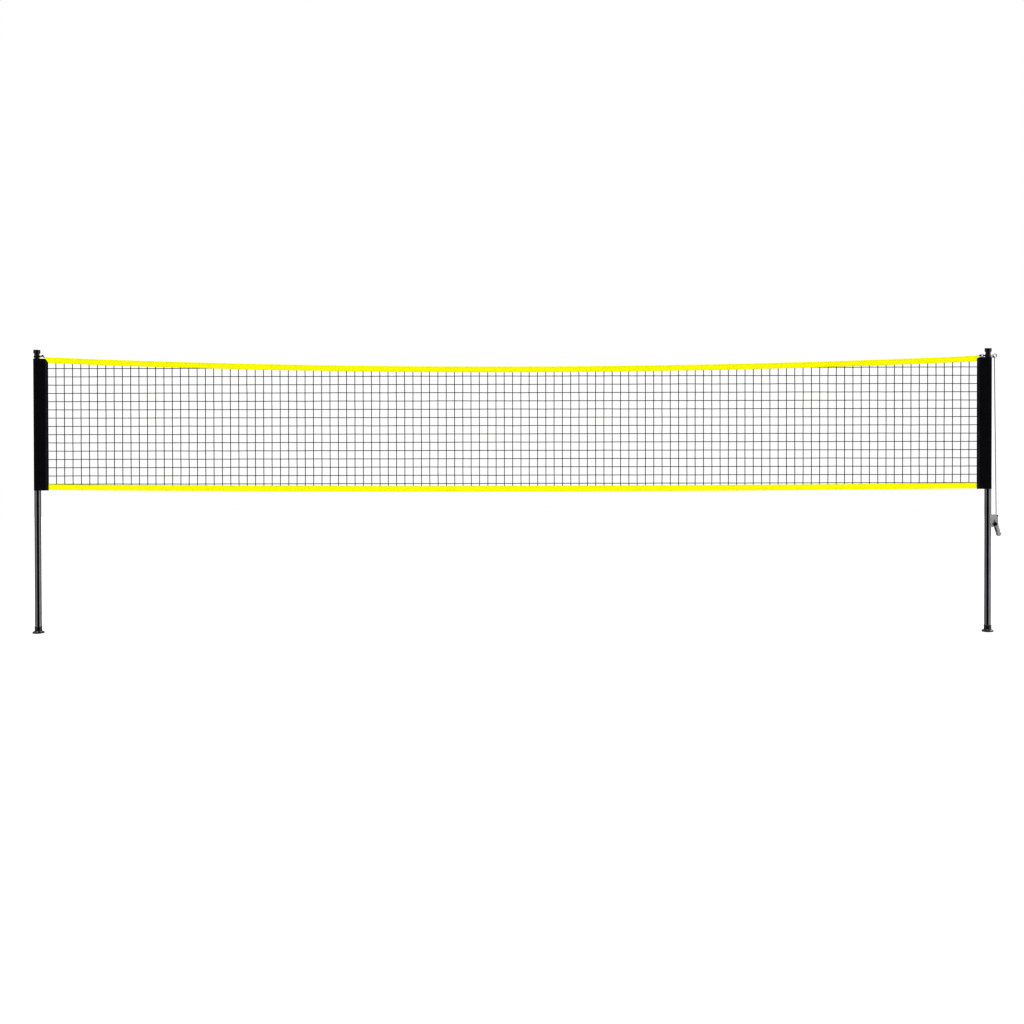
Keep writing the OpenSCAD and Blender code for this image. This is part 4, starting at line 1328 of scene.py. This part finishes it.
# Half of a 50 mm tape's section in millimetres: depth under its folded edge, and half its thickness there.
TAPE_SECTION = (
    (5.5, 5.1),
    (7.5, 4.9),
    (10.0, 4.1),
    (12.0, 3.55),
    (14.5, 3.75),
    (20.0, 4.2),
    (29.0, 4.3),
    (38.0, 4.1),
    (42.5, 3.9),
    (44.5, 3.55),
    (47.0, 3.9),
    (49.2, 3.9),
    (50.0, 3.5),
)
# The two seams that the stitches draw in, as places in that section.
TAPE_SEAMS = (3, 9)
TAPE_FOLD_R = 5.0 * MM


def tape_ring(x, top, width, cloth, upside, reach, pucker):
    """One section of a folded tape: outer skin down one side, over the fold and back, then inner skin."""
    outer, inner = [], []
    for depth, half in TAPE_SECTION:
        t = min(depth / 50 * width, reach)
        outer.append((t, half * MM + pucker(x, t)))
        inner.append((t, half * MM + pucker(x, t) - cloth))
    fold = TAPE_FOLD_R
    angles = [math.radians(d) for d in range(15, 166, 15)]
    bend = [(fold * (1 - math.sin(a)), fold * math.cos(a)) for a in angles]
    thin = (fold - cloth) / fold
    ring = [(t, h) for t, h in reversed(outer)]
    ring += bend
    ring += [(t, -h) for t, h in outer]
    back = [(t, -h) for t, h in reversed(inner)]
    back += [(fold - (fold - t) * thin, h * thin) for t, h in reversed(bend)]
    back += [(t, h) for t, h in inner]
    sign = -1 if upside else 1
    return [Vector((x, h, top - sign * t)) for t, h in ring + back]


def ring_lengths(ring, along):
    """UV pairs round a ring: the distance round it and the place along the piece, in metres."""
    total, pairs = 0.0, []
    for i, point in enumerate(ring):
        pairs.append((total, along))
        total += (ring[(i + 1) % len(ring)] - point).length
    return pairs + [(total, along)]


class NET_OT_tapes(bpy.types.Operator):
    """Make the top and bottom tapes, folded over their ropes and sewn"""

    bl_idname = "net.tapes"
    bl_label = "Tapes"

    def execute(self, context):
        look = context.scene.net_look
        sizes = look.sizes
        width = sizes.tape_width
        cloth = coated_canvas(look.colours)
        sewing = thread("Yellow Polyester Thread", "#e3d400")
        end = NET_EDGE - CLOTH_GAP
        pitch = (COLUMNS_HIGH.x - COLUMNS_LOW.x) / sizes.columns

        def pucker(x, t):
            """How far a face stands out: drawn in at each upright twine, and a little loose all over."""
            drawn = 0.22 * MM * math.cos(2 * math.pi * x / pitch) * min(t / 0.03, 1.0)
            loose = 0.5 * MM * noise.noise(Vector((x * 9.0, t * 30.0, 2.0)))
            return drawn + loose

        steps = 520
        stations = [-end + 2 * end * i / steps for i in range(steps + 1)]
        left = [TAPE_LOW.x + (-end - TAPE_LOW.x) * i / 6 for i in range(7)]
        right = [end + (TAPE_HIGH.x - end) * i / 5 for i in range(6)]
        plan = [(x, self.tip(sizes, x, end)) for x in left]
        plan += [(x, width) for x in stations]
        plan += [(x, self.tip(sizes, x, end)) for x in right]
        rings = [
            tape_ring(x, top_edge(sizes, x), width, sizes.tape_cloth, False, reach, pucker)
            for x, reach in plan
        ]
        self.sew("top_tape_canvas", rings, cloth, "top_tape", "head_rope", sizes)
        rings = [
            tape_ring(x, low_edge(sizes, x), width, sizes.tape_cloth, True, width, pucker)
            for x in stations
        ]
        self.sew("bottom_tape_canvas", rings, cloth, "bottom_tape", "foot_rope", sizes)
        # The rows of stitches stop 3 mm short of the tape's ends.
        sewn = [3 * MM - end] + stations[1:-1] + [end - 3 * MM]
        for name, edge, sign in (("top_tape_stitches", top_edge, 1), ("bottom_tape_stitches", low_edge, -1)):
            lines = []
            for seam in TAPE_SEAMS:
                depth, half = (v * MM for v in TAPE_SECTION[seam])
                for face in (-1, 1):
                    line = []
                    for x in sewn:
                        y = face * (half + 0.15 * MM + pucker(x, depth))
                        line.append(Vector((x, y, edge(sizes, x) - sign * depth)))
                    lines.append(line)
            piece = stitched(name, lines, sewing, sizes.stitch_pitch)
            settle(piece, slot="yellow_tape")
        return {"FINISHED"}

    def tip(self, sizes, x, end):
        """How wide the tape still is above a sleeve's edge: less and less towards its tip."""
        climb = 4 * MM * min(max(abs(x) - end, 0) / (20 * MM), 1)
        return min(top_edge(sizes, x) - sleeve_top(x) - CLOTH_GAP - climb, sizes.tape_width)

    def sew(self, name, rings, cloth, node, rope, sizes):
        """Makes a tape from its sections and puts it in place of its node; its rope is not used."""
        along = [ring[0].x for ring in rings]
        piece = lofted(name, rings, [ring_lengths(r, a) for r, a in zip(rings, along)], cloth)
        face_outwards(piece)
        settle(piece, node, slot="yellow_tape")


# ---------- sleeves ----------


class NET_OT_sleeves(bpy.types.Operator):
    """Make the two cloth sleeves round the poles, with their seams, hems and stitching"""

    bl_idname = "net.sleeves"
    bl_label = "Sleeves"

    # Heights in millimetres of a hem's rings over the sleeve's end, and which of them is sewn.
    hem = (0, 1, 3, 12, 18.5, 21.5, 22.5)
    hem_row = 4
    # The outer line of the flat part in millimetres, from the sleeve's edge at the net towards the pole:
    # distance from that edge, and half the thickness there.
    flat = (
        (0, 2.9),
        (0.6, 3.6),
        (3, 3.9),
        (6, 3.6),
        (7, 3.3),
        (8, 3.6),
        (12, 4.1),
        (17, 4.2),
        (22, 3.9),
        (25, 3.3),
        (26.5, 3.2),
        (28, 3.6),
        (31, 4.9),
    )
    # The two upright seams, as places in that line.
    seams = (4, 10)

    def execute(self, context):
        look = context.scene.net_look
        cloth = oxford_cloth(look.colours)
        # The thread is real, but it is drawn lighter than the cloth: a painted highlight for the light that
        # the seams catch.
        sewing = thread("Slate Polyester Thread, Painted Highlight", "#5b5b6a")
        for side, name in ((-1, "left_sleeve"), (1, "right_sleeve")):
            self.sleeve(look.sizes, cloth, sewing, side, name)
        return {"FINISHED"}

    def section(self, cloth):
        """Half of the outer line, from the net's side to the back of the pole: distance and half width."""
        reach = POLE_X - NET_EDGE
        line = [(reach - d * MM, h * MM) for d, h in self.flat]
        r = POLE_R + CLOTH_GAP + cloth
        d, h = line[-1]
        touch = math.atan2(h, d) + math.acos(r / math.hypot(d, h))
        meet = (r * math.cos(touch), r * math.sin(touch))
        line += [(d + (meet[0] - d) * i / 6, h + (meet[1] - h) * i / 6) for i in range(1, 6)]
        steps = 22
        arc = [touch + (math.pi - touch) * i / steps for i in range(steps + 1)]
        return line + [(r * math.cos(a), r * math.sin(a)) for a in arc]

    def sleeve(self, sizes, material, sewing, side, name):
        """One sleeve, made as sections from its lower end to its upper, then its stitches."""
        cloth = sizes.sleeve_cloth
        low, high = SLEEVE_LOW.z, SLEEVE_HIGH.z
        half = self.section(cloth)
        line = [(d, -h) for d, h in half] + [(d, h) for d, h in reversed(half[:-1])]
        zs = [low + rise * MM for rise in self.hem]
        clear, steps = 30 * MM, 150
        zs += [low + clear + (high - low - 2 * clear) * i / steps for i in range(steps + 1)]
        zs += [high - rise * MM for rise in reversed(self.hem)]
        rings, uv_rings, skins = [], [], []
        for z in zs:
            # A hem is 22 mm wide and stands out, but for its very edge.
            from_end = min(z - low, high - z)
            thick = 0.35 * MM if from_end < 22 * MM else 0.0
            thick -= 0.3 * MM if from_end < 0.5 * MM else 0.0
            outer, inner, skin = [], [], []
            for j, (d, h) in enumerate(line):
                ahead = line[min(j + 1, len(line) - 1)]
                behind = line[max(j - 1, 0)]
                along = Vector((ahead[0] - behind[0], ahead[1] - behind[1]))
                out = Vector((-along.y, along.x)).normalized()
                at = Vector((d, h)) + out * (thick + self.fold(d, h, z, side) * self.freedom(d, h))
                outer.append(at)
                inner.append(at - out * (cloth + thick))
                # The stitches lie a little proud of the cloth.
                skin.append(at + out * 0.15 * MM)
            ring = self.placed(outer + inner[::-1], z, side)
            rings.append(ring)
            skins.append(self.placed(skin, z, side))
            turns = ring_lengths(ring, z)
            uv_rings.append([(turn, p.z) for (turn, _), p in zip(turns, ring + ring[:1])])
        piece = lofted(name + "_cloth", rings, uv_rings, material)
        face_outwards(piece)
        settle(piece, name, slot="sleeve_cloth")
        lines = [skins[self.hem_row][2:-2], skins[-1 - self.hem_row][2:-2]]
        for j in self.seams:
            for place in (j, len(line) - 1 - j):
                lines.append([skin[place] for skin in skins[2:-2]])
        piece = stitched(name + "_stitches", lines, sewing, sizes.stitch_pitch)
        settle(piece, slot="sleeve_cloth")

    def placed(self, points, z, side):
        """Points of a section, given from the pole's axis, as places on that side's sleeve."""
        spots = [Vector((side * (POLE_X - p.x), side * p.y, z)) for p in points]
        for spot in spots:
            spot.z = self.lowered(spot.x, z)
        return spots

    def lowered(self, x, z):
        """A height near the top, carried down with the slanted corner."""
        span = 80 * MM
        near_top = min(max((z - SLEEVE_HIGH.z + span) / span, 0.0), 1.0)
        return z - (SLEEVE_HIGH.z - sleeve_top(x)) * near_top

    def freedom(self, d, h):
        """How free the cloth is to lift: least where it lies on the pole, most between pole and net."""
        clear = math.hypot(d, h) - (POLE_R + 2.2 * MM)
        return min(max(clear / (14 * MM), 0.0), 1.0) * 0.8 + 0.2

    def fold(self, d, h, z, side):
        """Soft upright folds, and short creases that spread from the ends."""
        face = 1.0 if h > 0 else -1.0
        upright = noise.noise(Vector((d * 55.0, z * 1.6, 3.0 * face + 11.0 * side)))
        short = noise.noise(Vector((d * 30.0, z * 14.0, 7.0 * face + 5.0 * side)))
        pulled = math.exp(-(SLEEVE_HIGH.z - z) / 0.09) + 0.6 * math.exp(-(z - SLEEVE_LOW.z) / 0.07)
        return (1.3 * max(upright, -0.3) + (0.6 + 1.0 * pulled) * max(short, -0.35)) * MM


# ---------- poles, fittings and tensioner ----------


class NET_OT_poles(bpy.types.Operator):
    """Finish the tubes, the rubber feet and the caps"""

    bl_idname = "net.poles"
    bl_label = "Poles, Feet and Caps"

    def execute(self, context):
        colours = context.scene.net_look.colours
        dress(anodised_aluminium(colours), "left_pole_tube", "right_pole_tube")
        dress(moulded_rubber(), "left_foot", "right_foot")
        dress(glossy_abs(), "left_cap", "right_cap")
        return {"FINISHED"}


class NET_OT_fittings(bpy.types.Operator):
    """Finish the guide ring, its nut, the snap hook and its gate"""

    bl_idname = "net.fittings"
    bl_label = "Ring and Snap Hook"

    def execute(self, context):
        # A baked enamel: glossy over a grain of about 1 mm. Its bluish tint is a painted highlight for the
        # bluish light on the hook, and so are its paler bluish patches, which are also wear.
        black = grained_polymer("Black Enamelled Steel", "#14141f", "#2c2c40", 0.2, 900.0, 0.04 * MM)
        dress(bright_zinc(), "guide_ring", "snap_gate", "snap_gate_pin")
        dress(black, "snap_hook", "guide_ring_nut")
        return {"FINISHED"}


class NET_OT_tensioner(bpy.types.Operator):
    """Finish the ratchet tensioner and make its two springs"""

    bl_idname = "net.tensioner"
    bl_label = "Ratchet Tensioner"

    def execute(self, context):
        # Hardened and turned steel is darker than zinc, and a drawn wire is brighter and smoother.
        hard = plated_steel("Hardened Carbon Steel", "#5c5d60", "#8a8b8d", 0.36, 2200.0)
        turned = plated_steel("Turned Mild Steel", "#77787a", "#9b9b9c", 0.3, 2600.0)
        wire = plated_steel("Hard-Drawn Spring Wire", "#9c9d9f", "#c6c7c8", 0.28, 4000.0)
        # The nylon's skin is half dull, and the powder coat has a fine orange peel.
        nylon = grained_polymer("Black Glass-Filled Nylon", "#0c0c0e", "#1e1e20", 0.42, 1500.0, 0.1 * MM)
        coat = grained_polymer("Grey Powder-Coated Grip", "#b2b2b0", "#c8c8c6", 0.5, 1300.0, 0.12 * MM)
        dress(galvanised_sheet(context.scene.net_look.colours), "tensioner_frame", "handle_sides")
        dress(bright_zinc(), "tensioner_rivets", "handle_stop_pin", "lock_spring_seat", "slider_rivets")
        dress(hard, "lock_pawl", "drive_pawl")
        dress(turned, "drum_halves", "ratchet_wheels")
        dress(nylon, "hub_heads", "cord_guide_pin")
        dress(coat, "handle_grip")
        self.spring(wire, "lock_spring_coil", "lock_pawl_spring", STAND, "lock_pawl_slide", 100, 48.2, 61.8)
        self.spring(
            wire, "drive_spring_coil", "drive_pawl_spring", "handle", "drive_pawl_slide", -65, 74.2, 91
        )
        return {"FINISHED"}

    def spring(self, wire, name, node, body, joint, direction, near, seat):
        """A coil that its pawl presses against its seat.

        It lies in a direction in degrees, between two distances in millimetres from the drum's axis.
        """
        turned = math.radians(direction)
        ahead = Vector((math.cos(turned), 0, math.sin(turned)))
        wire_r = 0.6 * MM
        long_m = (seat - near) * MM
        values = {
            "Turns": 5.0,
            "Coil Radius": 3 * MM,
            "Wire Radius": wire_r,
            "Length": long_m - 2 * wire_r,
        }
        piece = grown(name, bare_mesh(name + "_seed", [(0, 0, 0)]), spring_tree(), wire, values)
        piece.data.transform(Matrix.Rotation(-turned, 4, "Y"))
        piece.data.transform(Matrix.Translation(DRUM + ahead * (near * MM + wire_r)))
        settle(piece, node, body=body, slot="spring_steel")
        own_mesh(piece)


# ---------- add-on ----------


class NET_PT_panel(bpy.types.Panel):
    """Lists the pieces of the net and their sizes"""

    bl_label = "Volleyball Net"
    bl_idname = "NET_PT_panel"
    bl_space_type = "VIEW_3D"
    bl_region_type = "UI"
    bl_category = "Net"

    def draw(self, context):
        """A button for each operator, then the sizes, the colours and the stage."""
        for operator in STEPS:
            self.layout.operator(operator.bl_idname)
        look = context.scene.net_look
        for group in (look.sizes, look.colours, look.stage):
            box = self.layout.box()
            for name in group.__annotations__:
                box.prop(group, name)


STEPS = (
    NET_OT_stage,
    NET_OT_cords,
    NET_OT_twines,
    NET_OT_tapes,
    NET_OT_sleeves,
    NET_OT_poles,
    NET_OT_fittings,
    NET_OT_tensioner,
)
CLASSES = (NetSizes, NetColours, NetStage, NetLook, *STEPS, NET_PT_panel)


def register():
    """Adds the net's classes and its settings to Blender."""
    for made in CLASSES:
        bpy.utils.register_class(made)
    bpy.types.Scene.net_look = bpy.props.PointerProperty(type=NetLook)


def unregister():
    """Takes them away again."""
    del bpy.types.Scene.net_look
    for made in reversed(CLASSES):
        bpy.utils.unregister_class(made)


def main():
    """Runs every operator in order."""
    register()
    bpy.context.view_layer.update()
    for step in STEPS:
        group, name = step.bl_idname.split(".")
        if getattr(getattr(bpy.ops, group), name)() != {"FINISHED"}:
            raise RuntimeError(step.bl_label + " did not finish")


if __name__ == "__main__":
    main()
